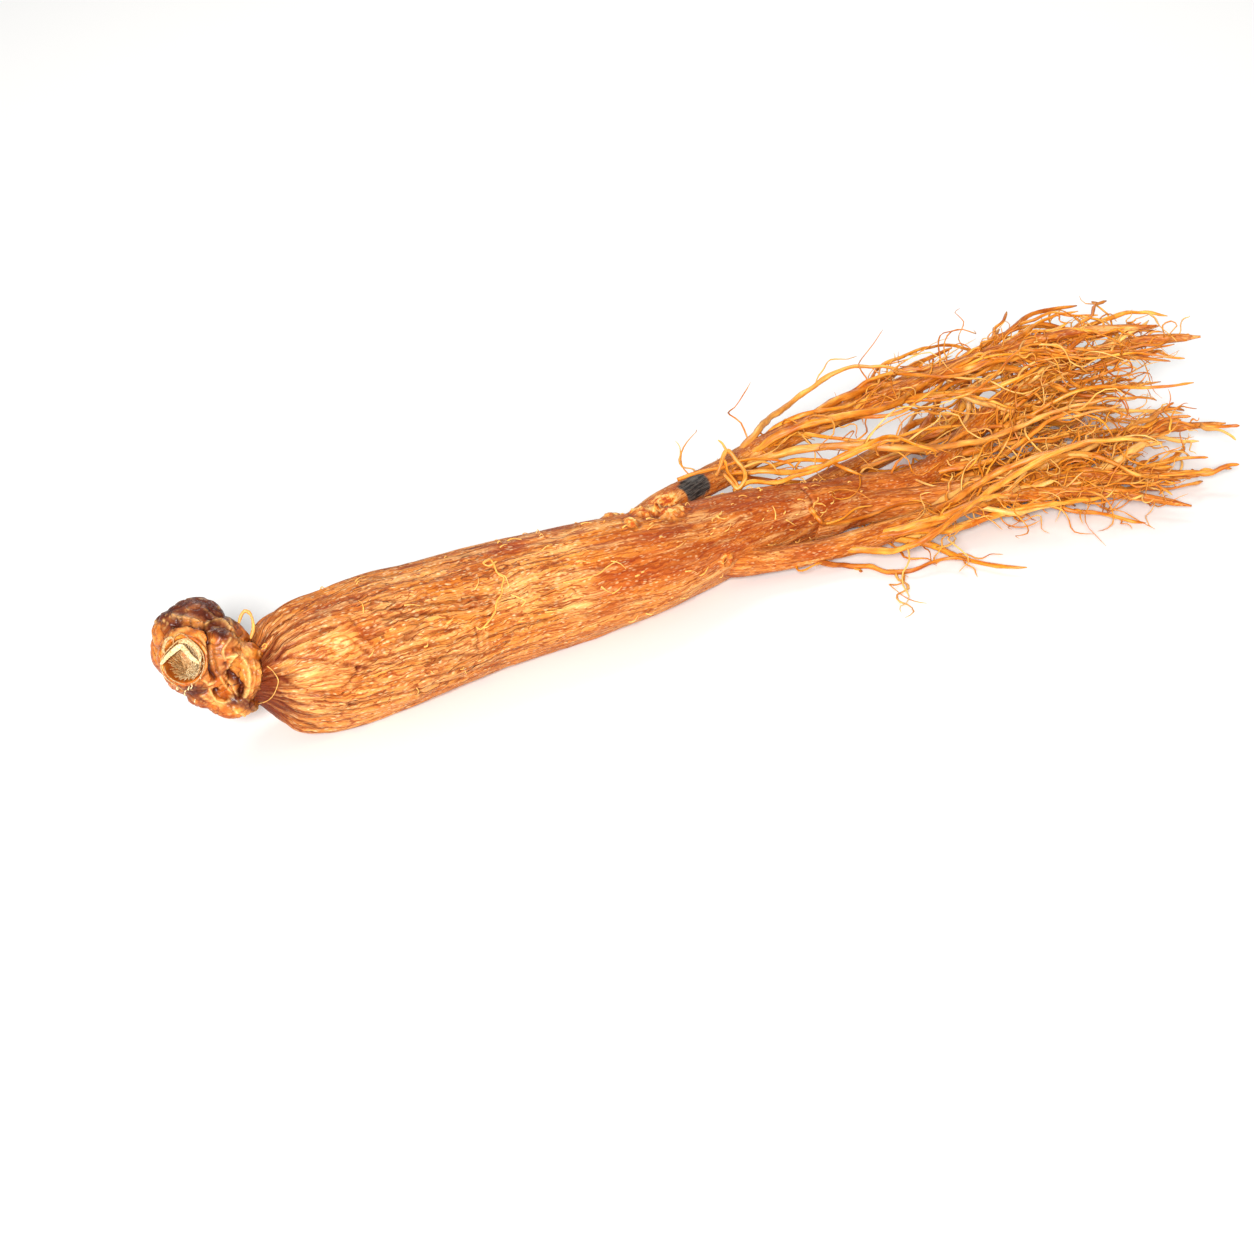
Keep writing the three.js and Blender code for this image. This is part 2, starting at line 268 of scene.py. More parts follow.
def bend_bar(bar, route, radius_at, relief=None):
    """Corners of a bar bent along a route, and each corner's share, angle and radius."""
    corners = bar[0]
    share = corners[:, 2]
    angle = np.arctan2(corners[:, 1], corners[:, 0])
    out = np.minimum(np.hypot(corners[:, 0], corners[:, 1]), 1)
    levels, where, middle, side, top = lay_along(bar, route, (0, 0, 1))
    radius = (radius_at(levels) * (1 - TIP_ROUNDING * smooth_step(0.965, 1, levels)))[where]
    if relief is not None:
        radius = radius + relief(share, angle, radius) * np.minimum(1, out)
    spread = (out * radius)[:, None]
    turned = np.cos(angle)[:, None] * top + np.sin(angle)[:, None] * side
    return middle + spread * turned, share, angle, radius


def many_bars(name, bar, bent, paints):
    """One piece from several bent copies of a bar."""
    count = len(bar[0])
    faces = []
    for number in range(len(bent)):
        faces += [tuple(i + number * count for i in face) for face in bar[1]]
    joined = {key: np.concatenate([p[key] for p in paints]) for key in paints[0]}
    return make_piece(name, np.vstack(bent), faces, joined)


# ---------------------------------------------------------------- main root
# How much of the belly is pressed flat where the root lies.
BELLY_CUT = 0.55
# Places along the root, with its sideways place and its radius there.
BODY_STATIONS = [
    [-45.0, 1.2, 2.6], [-41.5, 0.4, 4.0], [-39.2, 0.0, 6.6], [-36.8, 0.0, 9.2], [-32.0, 0.0, 10.9],
    [-26.0, 0.0, 11.5], [-17.0, -0.3, 11.8], [-5.0, -0.2, 11.2], [10.0, 0.0, 10.5],
    [28.0, -1.0, 9.8], [38.0, -1.6, 9.1], [48.0, -0.6, 8.0], [62.0, 1.6, 6.8], [76.0, 2.8, 5.5],
    [88.0, 2.6, 4.3], [96.0, 2.0, 2.8],
]
# How far the tail rises off the floor, the folds round the root, and the neck's pleats.
BODY_LIFT = 0.9
FOLD_COUNT = 9
FOLD_DEPTH = 0.14
PLEAT_DEPTH = 0.42
NECK_X = -40.0
NECK_HEIGHT = 11.4
BODY_START, BODY_END = BODY_STATIONS[0][0], BODY_STATIONS[-1][0]
BODY_TRACE = through(BODY_STATIONS, np.linspace(0, 1, 4000))


def body_line(x):
    """Sideways place, height and radius of the main root at a place along it."""
    y = np.interp(x, BODY_TRACE[:, 0], BODY_TRACE[:, 1])
    radius = np.interp(x, BODY_TRACE[:, 0], BODY_TRACE[:, 2])
    resting = radius - BELLY_CUT + BODY_LIFT * smooth_step(8, 60, x)
    gathered = 1 - smooth_step(NECK_X + 6, NECK_X + 16, x)
    return y, resting + (NECK_HEIGHT - resting) * gathered, radius


def body_relief(x, angle):
    """The root's uneven section and its long folds, which gather into pleats at the neck."""
    out = (
        0.3 * np.sin(2 * angle + 0.6 + 0.02 * x)
        + 0.26 * np.sin(3 * angle + 1.7 - 0.035 * x)
        + 0.2 * np.sin(0.13 * x + 2 * np.sin(angle))
    )
    drift = 0.9 * np.sin(0.045 * x) + 0.5 * np.sin(0.11 * x + angle)
    gather = 1 - smooth_step(NECK_X, NECK_X + 16, x)
    depth = FOLD_DEPTH + PLEAT_DEPTH * gather
    ends = smooth_step(-42, -36, x) * (1 - smooth_step(80, 94, x))
    belly = 1 - smooth_step(0.86, 0.97, -np.cos(angle))
    folds = depth * np.sin(FOLD_COUNT * angle + drift * (1 - gather))
    return ends * belly * (out + folds)


def skin_point(x, degrees, sink=0):
    """A place on the main root's skin, at an angle from the top towards +Y."""
    angle = math.radians(degrees)
    y, z, radius = body_line(x)
    radius = radius + body_relief(x, angle) - sink
    return np.array([x, y + radius * math.sin(angle), z + radius * math.cos(angle)])


def spot_on_skin(x, angle, spot):
    """Distance along and round the root from a spot at (place, degrees)."""
    turn = (angle - math.radians(spot[1]) + math.pi) % FULL_TURN - math.pi
    return x - spot[0], turn * body_line(spot[0])[2]


def stroke_on_skin(x, angle, path):
    """Distance from a line drawn on the skin through spots at (place, degrees)."""
    middle = path[len(path) // 2]
    flat = [
        (s[0] - middle[0], math.radians(s[1] - middle[1]) * body_line(middle[0])[2])
        for s in path
    ]
    return line_distance(*spot_on_skin(x, angle, middle), flat)


# Old rootlet scars, smoother than the skin: a round one with a pale middle, and an oval one.
# Each has its spot, how much shorter its width is than its length, how uneven its edge is,
# over what length and by which seed, from where to where it ends, how much it smooths the
# skin, how high it is, where its rings start, how calm it is, how much it fades the skin's
# streaks, how pale its middle and the rest of it are, and how much red it takes away.
OLD_SCARS = [
    ((-28.9, -53), 0.8, 0.3, 1.8, 71, (2.2, 3.6), 0.6, 0.1, 0.1, 0.8, 0.3, 0.8, 0.2, 0.9),
    ((-33.3, -76), 0.55, 0.25, 2.2, 72, (2.0, 3.2), 0.5, 0.12, 1.8, 0.6, 0.0, 0.0, 0.3, 0.8),
]
# Further from a scar than this, the skin has no rings.
RINGLESS = 9.0
# Cracks: path, half width, depth and how dark.
CRACKS = [
    ([(-27.3, -74), (-27.9, -80), (-29.2, -87), (-31.2, -92), (-33.5, -92)], 0.2, 0.4, 0.75),
    ([(-33.4, -94), (-33.7, -99)], 0.22, 0.3, 0.7),
    ([(-25.7, -30), (-25.0, -41)], 0.2, 0.3, 0.6),
    ([(75.0, 0), (74.6, -23), (74.5, -40), (74.2, -56), (73.2, -71)], 0.2, 0.35, 0.7),
    ([(33.0, 20), (37.8, 16), (42, 12), (46, 16)], 0.35, 0.5, 0.9),
]
# Long thin creases, mostly along the root.
CREASES = [
    [(-38.9, -40), (-36.4, -48), (-34.2, -56), (-31.8, -62), (-28.9, -69), (-27.3, -74)],
    [(-27.3, -74), (-25.1, -79), (-22.7, -81), (-20.5, -80)],
    [(-27.3, -74), (-24.7, -72), (-21.2, -74), (-17.7, -74), (-13.5, -77), (-8.8, -78),
     (-2.8, -82)],
    [(-20.6, -83), (-17.2, -86), (-14.3, -89), (-9.2, -93), (-3.0, -101)],
    [(-39.6, -60), (-38.5, -74), (-37.5, -82), (-35.7, -88), (-33.7, -91)],
    [(-40.2, -86), (-39.2, -98), (-37.7, -102), (-35.9, -105), (-33.2, -108), (-30.3, -112),
     (-27.1, -115), (-23.4, -116), (-18.9, -118)],
    [(-41.2, -132), (-39.8, -137), (-38.5, -134), (-36.7, -134), (-34.5, -136)],
    [(-39.7, -108), (-38.2, -116), (-36.2, -116), (-33.4, -113)],
    [(-29.8, -106), (-25.4, -108), (-21.4, -110), (-17.2, -113), (-12.3, -117), (-6.9, -123)],
    [(-28.5, -91), (-23.9, -95), (-19.3, -100), (-14.0, -104), (-9.2, -108), (-2.1, -113)],
    [(-39.4, -23), (-37.6, -17), (-35.4, -17), (-32.6, -20), (-29.2, -23)],
    [(-38.8, -3), (-37.5, -5), (-35.9, -5), (-34.1, -7)],
    [(-38.8, -38), (-37.4, -34), (-35.6, -36), (-33.3, -36), (-31.1, -36), (-28.6, -35)],
    [(-21.5, -32), (-17.3, -38), (-12.8, -41), (-8.0, -44), (-3.2, -48)],
    [(-20.5, -41), (-16.5, -46), (-12.8, -48), (-8.7, -51), (-2.9, -55)],
    [(-4.1, -73), (-3.9, -81), (-4.4, -95)],
    [(-17.2, -111), (-15.3, -125)],
    [(-26.1, -55), (-25.8, -60), (-24.9, -64)],
    [(-18.1, -65), (-15.0, -67), (-11.0, -68), (-6.7, -70)],
]
# A round pore, red inside, with a raised rim that is torn on one side.
PORE = (50.4, -92)
# Spots of another colour: place, degrees and size.
BROWN_SPOTS = [(-16.7, -36, 1.1), (14.6, -93, 0.7), (-2, -50, 1.6)]
GOLD_SPOTS = [(6.0, -52, 3.4), (-7.9, -88, 1.6), (16.6, -82, 2.6), (-36.1, -67, 1.3)]
# Places where thin roots were torn off, with orange flesh showing: place, degrees, half length
# and half width.
TORN_SPOTS = [
    (33.6, -7, 1.2, 1.3), (43.4, 2, 3.6, 2.0), (38.4, 8, 2.8, 1.4), (40.3, 24, 4.2, 2.4),
    (32.2, 22, 2.2, 1.1),
]
# Waves in the skin: how long along the root, how wide round it, and their seed. In turn they
# are the folds, long grooves, short wrinkles, cross wrinkles, red patches, pale streaks and
# the neck's pleats.
SKIN_WAVES = [
    (34, 3.0, 5), (17, 1.9, 11), (6, 1.2, 23), (2.2, 4, 41), (22, 5, 51), (14, 1.6, 55),
    (15, 1.35, 61),
]
GRAIN_RADIUS = 10
BODY_SIDES = 224
BODY_CUTS = (20, 19)


def make_main_root():
    corners, faces = round_bar(BODY_SIDES, *BODY_CUTS)
    share = corners[:, 2]
    out = np.minimum(np.hypot(corners[:, 0], corners[:, 1]), 1)
    angle = -np.arctan2(corners[:, 1], corners[:, 0])
    x = BODY_START + (BODY_END - BODY_START) * share
    y, z, radius = body_line(x)

    # The grain of the skin: how far along the profile, and round the root at a width that
    # stays the same where the root thins, so the wrinkles gather at the neck.
    profile = np.linspace(BODY_START, BODY_END, 1500)
    walked = np.hypot(np.gradient(profile), np.gradient(body_line(profile)[2])).cumsum()
    along_skin = np.interp(x, profile, walked)
    reach = GRAIN_RADIUS + (radius + 1 - GRAIN_RADIUS) * smooth_step(20, 70, x)
    over, beside = reach * np.cos(angle), reach * np.sin(angle)
    sway = 0.75 * ripple(along_skin / 17, over / 6, beside / 6, 3)
    sway += 0.22 * ripple(along_skin / 5, over / 2, beside / 2, 4)
    turned = angle + sway / reach
    over, beside = reach * np.cos(turned), reach * np.sin(turned)
    folds, long_wave, short_wave, cross_wave, patch, streak, pleat_wave = (
        ripple(along_skin / length, over / width, beside / width, seed)
        for length, width, seed in SKIN_WAVES
    )
    neck = 1 - smooth_step(-39, -24, x)
    tail = smooth_step(30, 80, x)
    pleat = hump(pleat_wave, 0.26) * neck

    # The height of the fine relief, and how dark, pale, red, raw and calm each place is. The
    # skin is redder towards the tail, paler low on its sides and deep brown at the neck.
    relief = body_relief(x, angle)
    groove = hump(long_wave, 0.2)
    fine = 0.26 * folds + 0.16 * np.abs(long_wave) + 0.1 * short_wave
    fine += 0.05 * cross_wave - 0.14 * groove - 0.24 * pleat
    fine *= 1 - 0.3 * tail
    # Darker in the long sunk grooves and the neck's pleat troughs: partly the skin's own brown,
    # partly painted shade.
    dark = 0.2 * groove * smooth_step(-0.3, 0.3, folds)
    dark = dark + 0.5 * hump(pleat_wave, 0.12) * neck
    dark = dark + 0.9 * (1 - smooth_step(-41.8, -37.0, x + 1.8 * pleat_wave))
    pale = 0.5 * smooth_step(0.15, 0.6, streak)
    toward_tail = smooth_step(-10, 60, x)
    red = smooth_step(-0.35, 0.6, patch + 0.5 * streak + 1.0 * toward_tail - 0.35)
    front = hump(np.degrees(angle) + 38, 28)
    red = red + 0.3 * front * (1 - toward_tail) * smooth_step(-0.4, 0.3, patch)
    low_side = smooth_step(-0.05, 0.45, -np.cos(angle))
    red *= 1 - 0.8 * low_side * (1 - 0.5 * tail)
    red = np.maximum(red, 1 - smooth_step(-41.0, -37.0, x))
    pale = pale + 0.1 * low_side * (1 - tail)
    # Painted shade: the lower half of the skin is made a little darker.
    dark = dark + 0.04 * low_side * (1 - tail)
    raw = np.zeros(len(x))
    calm = smooth_step(0, 50, x + 8 * patch)

    rings = np.full(len(x), RINGLESS)
    for (
        spot, squeeze, uneven, wave, seed, edge, smoothed, high, first_ring, calmed, faded,
        middle_pale, rest_pale, less_red,
    ) in OLD_SCARS:
        along, around = spot_on_skin(x, angle, spot)
        far = np.hypot(along * squeeze, around)
        far = far + uneven * ripple(x / wave, over / 1.8, beside / 1.8, seed)
        inside = 1 - smooth_step(*edge, far)
        fine = fine * (1 - smoothed * inside) + high * inside
        dark = dark * (1 - smoothed * inside)
        rings = np.minimum(rings, far + first_ring)
        calm = np.maximum(calm, calmed * inside)
        middle = middle_pale * (1 - smooth_step(1.0, 1.6, far))
        pale = np.maximum(pale * (1 - faded * inside), middle)
        pale = np.maximum(pale, rest_pale * inside)
        red *= 1 - less_red * inside
    for path, width, depth, darkness in CRACKS:
        far = stroke_on_skin(x, angle, path) + 0.1 * short_wave
        fine -= depth * hump(far, width)
        fine += 0.25 * depth * hump(far - 0.9, 0.5)
        dark += darkness * hump(far, width)
    for path in CREASES:
        far = stroke_on_skin(x, angle, path) + 0.1 * short_wave
        near = hump(far, 0.22)
        fine += 0.12 * hump(far - 0.75, 0.4) - 0.22 * near
        dark += 0.62 * near
        pale = np.maximum(pale, 0.4 * hump(far - 0.8, 0.35))
    for x0, degrees, size in BROWN_SPOTS:
        along, around = spot_on_skin(x, angle, (x0, degrees))
        red = np.maximum(red, 1.1 * hump(np.hypot(along * 0.6, around), size))
    for x0, degrees, size in GOLD_SPOTS:
        along, around = spot_on_skin(x, angle, (x0, degrees))
        near = hump(np.hypot(along * 0.7, around) + 0.8 * streak, size)
        pale = np.maximum(pale, 0.7 * near)
        red *= 1 - 0.7 * near
    along, around = spot_on_skin(x, angle, PORE)
    far = np.hypot(along, around)
    fine += 0.45 * hump(far - 1.2, 0.4) - 0.3 * hump(far, 0.7)
    rim_side = smooth_step(-0.9, 0.6, (around - 0.3 * along) / 1.2)
    raw = np.maximum(raw, hump(far - 1.15, 0.5) * (0.25 + 0.75 * rim_side))
    red = np.maximum(red, 1.4 * hump(far, 0.85))
    dark = dark + 0.45 * hump(far, 0.6)
    uneven = 0.45 * ripple(x / 1.1, over / 0.9, beside / 0.9, 81)
    lumps = 0.6 + 0.4 * ripple(x / 1.1, over / 1.0, beside / 1.0, 83)
    bared = 0.75 + 0.35 * ripple(x / 1.6, over / 1.2, beside / 1.2, 84)
    for x0, degrees, half_length, half_width in TORN_SPOTS:
        along, around = spot_on_skin(x, angle, (x0, degrees))
        far = np.hypot(along / half_length, around / half_width) + uneven
        torn = 1 - smooth_step(0.6, 1.05, far)
        fine += torn * lumps - 0.2 * hump(far - 1.15, 0.14)
        dark += 0.6 * hump(far - 1.2, 0.2)
        raw = np.maximum(raw, torn * bared)

    ends = smooth_step(-43, -38, x) * (1 - 0.5 * smooth_step(86, 95, x))
    belly = 1 - smooth_step(0.86, 0.97, -np.cos(angle))
    radius = radius + relief + fine * ends * (0.35 + 0.65 * belly)
    placed = np.stack(
        [x, y + out * radius * np.sin(angle), z + out * radius * np.cos(angle)], axis=1
    )
    placed[:, 2] = np.maximum(placed[:, 2], 0)
    paints = {
        "dark": np.clip(dark, 0, 1.2),
        "pale": np.clip(pale, 0, 1),
        "red": np.clip(red, 0, 1.2),
        "raw": np.clip(raw, 0, 1),
        "calm": calm,
        "rings": rings,
        "grain": np.stack([along_skin, over, beside], axis=1),
    }
    return make_piece("main_root", placed, faces, paints)


# ---------------------------------------------------------------- branch roots
# Points of each, its radius at both ends, and how many rootlets the solid has on it.
BRANCH_ROOTS = {
    "tail_upper": {
        "route": [
            [76, 3.6, 6.0], [90, 2.6, 5.6], [99, 0.4, 5.6], [108, 1.5, 6.8], [118, 4.6, 9.2],
            [130, 6.4, 13], [143, 4.6, 17], [155, -1, 20], [165, -9, 21],
        ],
        "thick": 3.7, "thin": 0.55, "rootlets": 7,
    },
    "tail_lower": {
        "route": [
            [76, 1.4, 4.8], [89, -1.2, 4.3], [101, -5.6, 4.1], [113, -8.4, 3.8],
            [124, -13.2, 3.6], [134, -18.6, 3.4], [143, -24, 3], [150, -27, 2.2],
        ],
        "thick": 3.3, "thin": 0.5, "rootlets": 7,
    },
    "tail_middle": {
        "route": [
            [82, 2.4, 4.6], [97, 1.2, 3.4], [110, -0.6, 2.8], [124, -2.8, 3.2],
            [138, -7, 4.6], [151, -13, 6.4], [162, -20, 7],
        ],
        "thick": 2.5, "thin": 0.45, "rootlets": 5,
    },
    "side_front": {
        "route": [
            [48, -2.6, 6.4], [60, -6.0, 4.2], [73, -9.8, 4.0], [88, -11.4, 4.3],
            [102, -12.2, 4.5], [116, -16.5, 4.4], [128, -24, 3.8], [138, -36, 2.4],
        ],
        "thick": 2.7, "thin": 0.5, "rootlets": 6,
    },
    "side_back": {
        "route": [
            [30, 0.5, 10.5], [44, 7.2, 12.4], [56, 12, 12.6], [66, 14.8, 12.4],
            [76, 17, 13.4], [88, 17.4, 14.8], [101, 15.6, 16], [114, 13, 18.8],
            [128, 9, 22], [142, 2, 24.6], [155, -7, 25.4],
        ],
        "thick": 3.5, "thin": 0.5, "rootlets": 7,
    },
    "side_low": {
        "route": [
            [58, 5, 4.8], [75, 10.5, 3.8], [93, 15.5, 3.2], [111, 18.6, 2.9],
            [128, 18.4, 2.9], [145, 14, 2.6], [160, 8, 1.8],
        ],
        "thick": 2.9, "thin": 0.45, "rootlets": 5,
    },
}


# A black scar on the near side of the upper side root: share of its length, and angle.
CHAR_ALONG = 0.197
CHAR_AROUND = math.radians(46)
# Torn flesh beside it, nearer the main root.
FLESH_ALONG = 0.115
FLESH_AROUND = math.radians(30)
SCAR_HALF_LENGTH = 4.6
SCAR_HALF_WIDTH = 2.6


def taper(thick, thin, power):
    return lambda share: thin + (thick - thin) * np.maximum(1 - np.atleast_1d(share), 0) ** power


def branch_radius(branch):
    even = taper(branch["thick"], branch["thin"], 0.8)
    return lambda share: even(share) * (1 + 0.25 * (1 - smooth_step(0, 0.16, share)))


def thin_root_skin(share, angle, radius, length, seed):
    """Relief and dark of a thin root's lengthwise wrinkles."""
    along = share * length
    over, beside = radius * np.cos(angle), radius * np.sin(angle)
    drift = 0.5 * ripple(along / 9, over / 3, beside / 3, seed + 1)
    wide = ripple(along / 11, (over + drift) / 1.3, (beside - drift) / 1.3, seed)
    fine = ripple(along / 4, (over + drift) / 0.6, (beside - drift) / 0.6, seed + 2)
    swell = ripple(along / 7, seed * 0.37, 0.5, seed + 3)
    groove = hump(wide, 0.1)
    relief = radius * (0.1 * swell + 0.1 * wide + 0.03 * fine - 0.06 * groove)
    return relief, 0.35 * groove, wide


def thin_root_grain(share, angle, radius, length, number):
    """Where each corner lies along and round a thin root, apart from all the others."""
    return np.stack(
        [share * length + 31.7 * number, radius * np.cos(angle), radius * np.sin(angle)], axis=1
    )


def make_branch_roots():
    bar = round_bar(32, 14, 15)
    bent, paints = [], []
    for number, branch in enumerate(BRANCH_ROOTS.values()):
        length = length_of(branch["route"])
        kept = {}

        def relief(share, angle, radius):
            seed = 20 * number + 5
            height, kept["dark"], kept["wide"] = thin_root_skin(
                share, angle, radius, length, seed
            )
            return height * smooth_step(0, 0.04, share)

        corners, share, angle, radius = bend_bar(
            bar, branch["route"], branch_radius(branch), relief
        )
        corners[:, 2] = np.maximum(corners[:, 2], 0)
        bent.append(corners)
        grain = thin_root_grain(share, angle, radius, length, number)
        char, raw = np.zeros(len(share)), np.zeros(len(share))
        if branch is BRANCH_ROOTS["side_back"]:
            uneven = 0.6 * ripple(*(grain.T / 1.4), 85)
            char_spot, flesh_spot = (
                (
                    (share - middle) * length / SCAR_HALF_LENGTH,
                    ((angle - turn) * radius + uneven) / SCAR_HALF_WIDTH,
                )
                for middle, turn in [(CHAR_ALONG, CHAR_AROUND), (FLESH_ALONG, FLESH_AROUND)]
            )
            char = 1 - smooth_step(0.7, 1.1, char_spot[0] ** 4 + char_spot[1] ** 4)
            raw = 1 - smooth_step(0.7, 1.0, np.hypot(*flesh_spot) + 0.3 * uneven)
        paints.append(
            {
                "dark": np.clip(kept["dark"], 0, 1),
                "red": 0.55 + 0.45 * ripple(grain[:, 0] / 9, grain[:, 1] / 3, grain[:, 2] / 3, 9),
                "gold": smooth_step(0.1, 0.6, share + 0.15 * kept["wide"]),
                "pale": 0.5 * smooth_step(0.2, 0.9, kept["wide"]),
                "char": char,
                "raw": raw,
                "calm": np.full(len(share), 0.8),
                "rings": np.full(len(share), RINGLESS),
                "grain": grain,
            }
        )
    return many_bars("branch_roots", bar, bent, paints)


# ---------------------------------------------------------------- rootlets and hairs
# The first rootlets and hairs are the solid's own, by the same draws in the same order.
ROOTLET_SEED = 3
ROOTLET_STEPS = 8
ROOTLET_THICK = 0.95
ROOTLET_THIN = 0.32
ROOTLET_FIRST = 0.36
ROOTLET_LAST = 0.88
ROOTLET_SHORTEST = 14
FAN_HEADING = math.radians(-35)
FAN_NEAREST = 98
FAN_FURTHEST = 132
HAIR_SEED = 77
HAIR_THICK = 0.42
HAIR_THIN = 0.3


def leaving(route, share):
    """Where a thin root leaves another, and the other's heading there, round and up."""
    ahead = forward_of(route, share)[0]
    heading = math.atan2(ahead[1], ahead[0]), math.asin(np.clip(ahead[2], -1, 1))
    return through(route, share)[0], heading


def wander(start, leave, arrive, length, steps, radius, sway, draw):
    """Points of a thin root that turns from one heading to another in uneven waves."""
    turns = 0.8 + 1.3 * draw()
    phase = FULL_TURN * draw()
    rise_turns = 0.6 + 1.1 * draw()
    rise_phase = FULL_TURN * draw()
    spot = np.array(start, float)
    points = [spot.copy()]
    for i in range(1, steps + 1):
        share = i / steps
        grown = min(1, 3 * share)
        swing = sway * grown * math.sin(FULL_TURN * turns * share + phase)
        heave = sway * 0.6 * grown * math.sin(FULL_TURN * rise_turns * share + rise_phase)
        yaw = leave[0] + (arrive[0] - leave[0]) * min(1, 1.6 * share) + swing
        pitch = leave[1] + (arrive[1] - leave[1]) * share + heave
        spot[0] += (length / steps) * math.cos(pitch) * math.cos(yaw)
        spot[1] += (length / steps) * math.cos(pitch) * math.sin(yaw)
        spot[2] += (length / steps) * math.sin(pitch)
        spot[2] = max(spot[2], radius + 0.05)
        points.append(spot.copy())
    return np.array(points)


def rootlet_plan():
    """The rootlets that the solid has, each with its points and its radius."""
    draw = draws(ROOTLET_SEED)
    plan = []
    for branch in BRANCH_ROOTS.values():
        route, radius_at = branch["route"], branch_radius(branch)
        for i in range(branch["rootlets"]):
            span = ROOTLET_LAST - ROOTLET_FIRST
            share = ROOTLET_FIRST + span * (i + 0.8 * draw()) / branch["rootlets"]
            start, along = leaving(route, share)
            turn = (1 if i % 2 else -1) * (0.16 + 0.34 * draw())
            leave = (along[0] + turn, along[1] + 0.3 * (draw() - 0.45))
            arrive = (along[0] * 0.5 + turn * 0.7, 0.34 * (draw() - 0.42))
            gone = start[0] * math.cos(FAN_HEADING) + start[1] * math.sin(FAN_HEADING)
            end = FAN_NEAREST + (FAN_FURTHEST - FAN_NEAREST) * draw()
            length = max(ROOTLET_SHORTEST, (end - gone) * 1.08)
            radius = min(ROOTLET_THICK, 0.62 * radius_at(share)[0]) * (0.72 + 0.28 * draw())
            points = wander(start, leave, arrive, length, ROOTLET_STEPS, radius, 0.3, draw)
            plan.append((points, radius, ROOTLET_THIN))
    return plan


def solid_hair_plan(plan):
    """The root hairs that the solid has."""
    draw = draws(HAIR_SEED)
    hairs = []
    for number, (points, _, _) in enumerate(plan):
        share = 0.3 + 0.5 * draw()
        start, along = leaving(points, share)
        turn = (1 if number % 2 else -1) * (0.5 + 0.5 * draw())
        leave = (along[0] + turn, along[1] + 0.5 * (draw() - 0.4))
        arrive = (along[0] + 0.5 * turn, 0.5 * (draw() - 0.4))
        length = 7 + 10 * draw()
        made = wander(start, leave, arrive, length, 4, HAIR_THICK, 0.35, draw)
        hairs.append((made, HAIR_THICK, HAIR_THIN))
    return hairs


# How far the thin roots stay inside the solid's box.
ROOM = 0.6
MORE_ROOTLETS = 150
MORE_ROOTLETS_SEED = 101
FINE_HAIRS = 760
FINE_HAIRS_SEED = 201


def stays_inside(points, furthest):
    walk = through(points, np.linspace(0, 1, 24))
    ahead = walk[:, 0] * math.cos(FAN_HEADING) + walk[:, 1] * math.sin(FAN_HEADING)
    inside = np.all(walk > LOW + (1, ROOM, 0.1), axis=1) & np.all(walk < HIGH - ROOM, axis=1)
    return bool(np.all(inside & (ahead < furthest)))


def grow(start, leave, arrive, length, steps, radius, sway, draw):
    """A thin root that is made shorter until it stays inside the solid's own box."""
    furthest = FAN_FURTHEST + 7 - 34 * draw() ** 1.5
    while length > 3:
        made = wander(start, leave, arrive, length, steps, radius, sway, draw)
        if stays_inside(made, furthest):
            return made
        length *= 0.86
    return None


def extra_rootlets(plan, count, seed):
    """More rootlets, from the branch roots and from the first rootlets."""
    draw = draws(seed)
    branches = [(b["route"], branch_radius(b), 1.0) for b in BRANCH_ROOTS.values()]
    parents = branches * 4 + [(p, taper(r, t, 0.8), 0.9) for p, r, t in plan]
    extra = []
    while len(extra) < count:
        route, radius_at, most = parents[int(draw() * len(parents))]
        share = 0.2 + 0.62 * draw()
        start, along = leaving(route, share)
        turn = (1 if draw() > 0.5 else -1) * (0.1 + 0.5 * draw())
        leave = (along[0] + turn, along[1] + 0.6 * (draw() - 0.4))
        arrive = (-0.5 + 0.9 * (draw() - 0.5), 0.5 * (draw() - 0.42))
        radius = min(1.0, 0.85 * most * float(radius_at(share)[0])) * (0.4 + 0.6 * draw())
        length = 26 + 52 * draw()
        made = grow(start, leave, arrive, length, 9, radius, 0.3 + 0.3 * draw(), draw)
        if made is not None:
            extra.append((made, radius, 0.22))
    return extra


def fine_hairs(parents, count, seed):
    """Fine hairs that leave the thin roots every way, some of them curled."""
    draw = draws(seed)
    hairs = []
    while len(hairs) < count:
        route, radius, _ = parents[int(draw() * len(parents))]
        share = 0.1 + 0.88 * draw() ** 0.7
        start, along = leaving(route, share)
        turn = (1 if draw() > 0.5 else -1) * (0.3 + 1.2 * draw())
        leave = (along[0] + turn, along[1] + 1.6 * (draw() - 0.45))
        arrive = (along[0] + 0.8 * turn - 0.3, 1.2 * (draw() - 0.4))
        length = 5 + 24 * draw() ** 1.6
        thick = 0.13 + 0.19 * draw()
        made = grow(start, leave, arrive, length, 8, thick, 0.5 + 0.7 * draw(), draw)
        if made is not None:
            hairs.append((made, thick, 0.07))
    return hairs


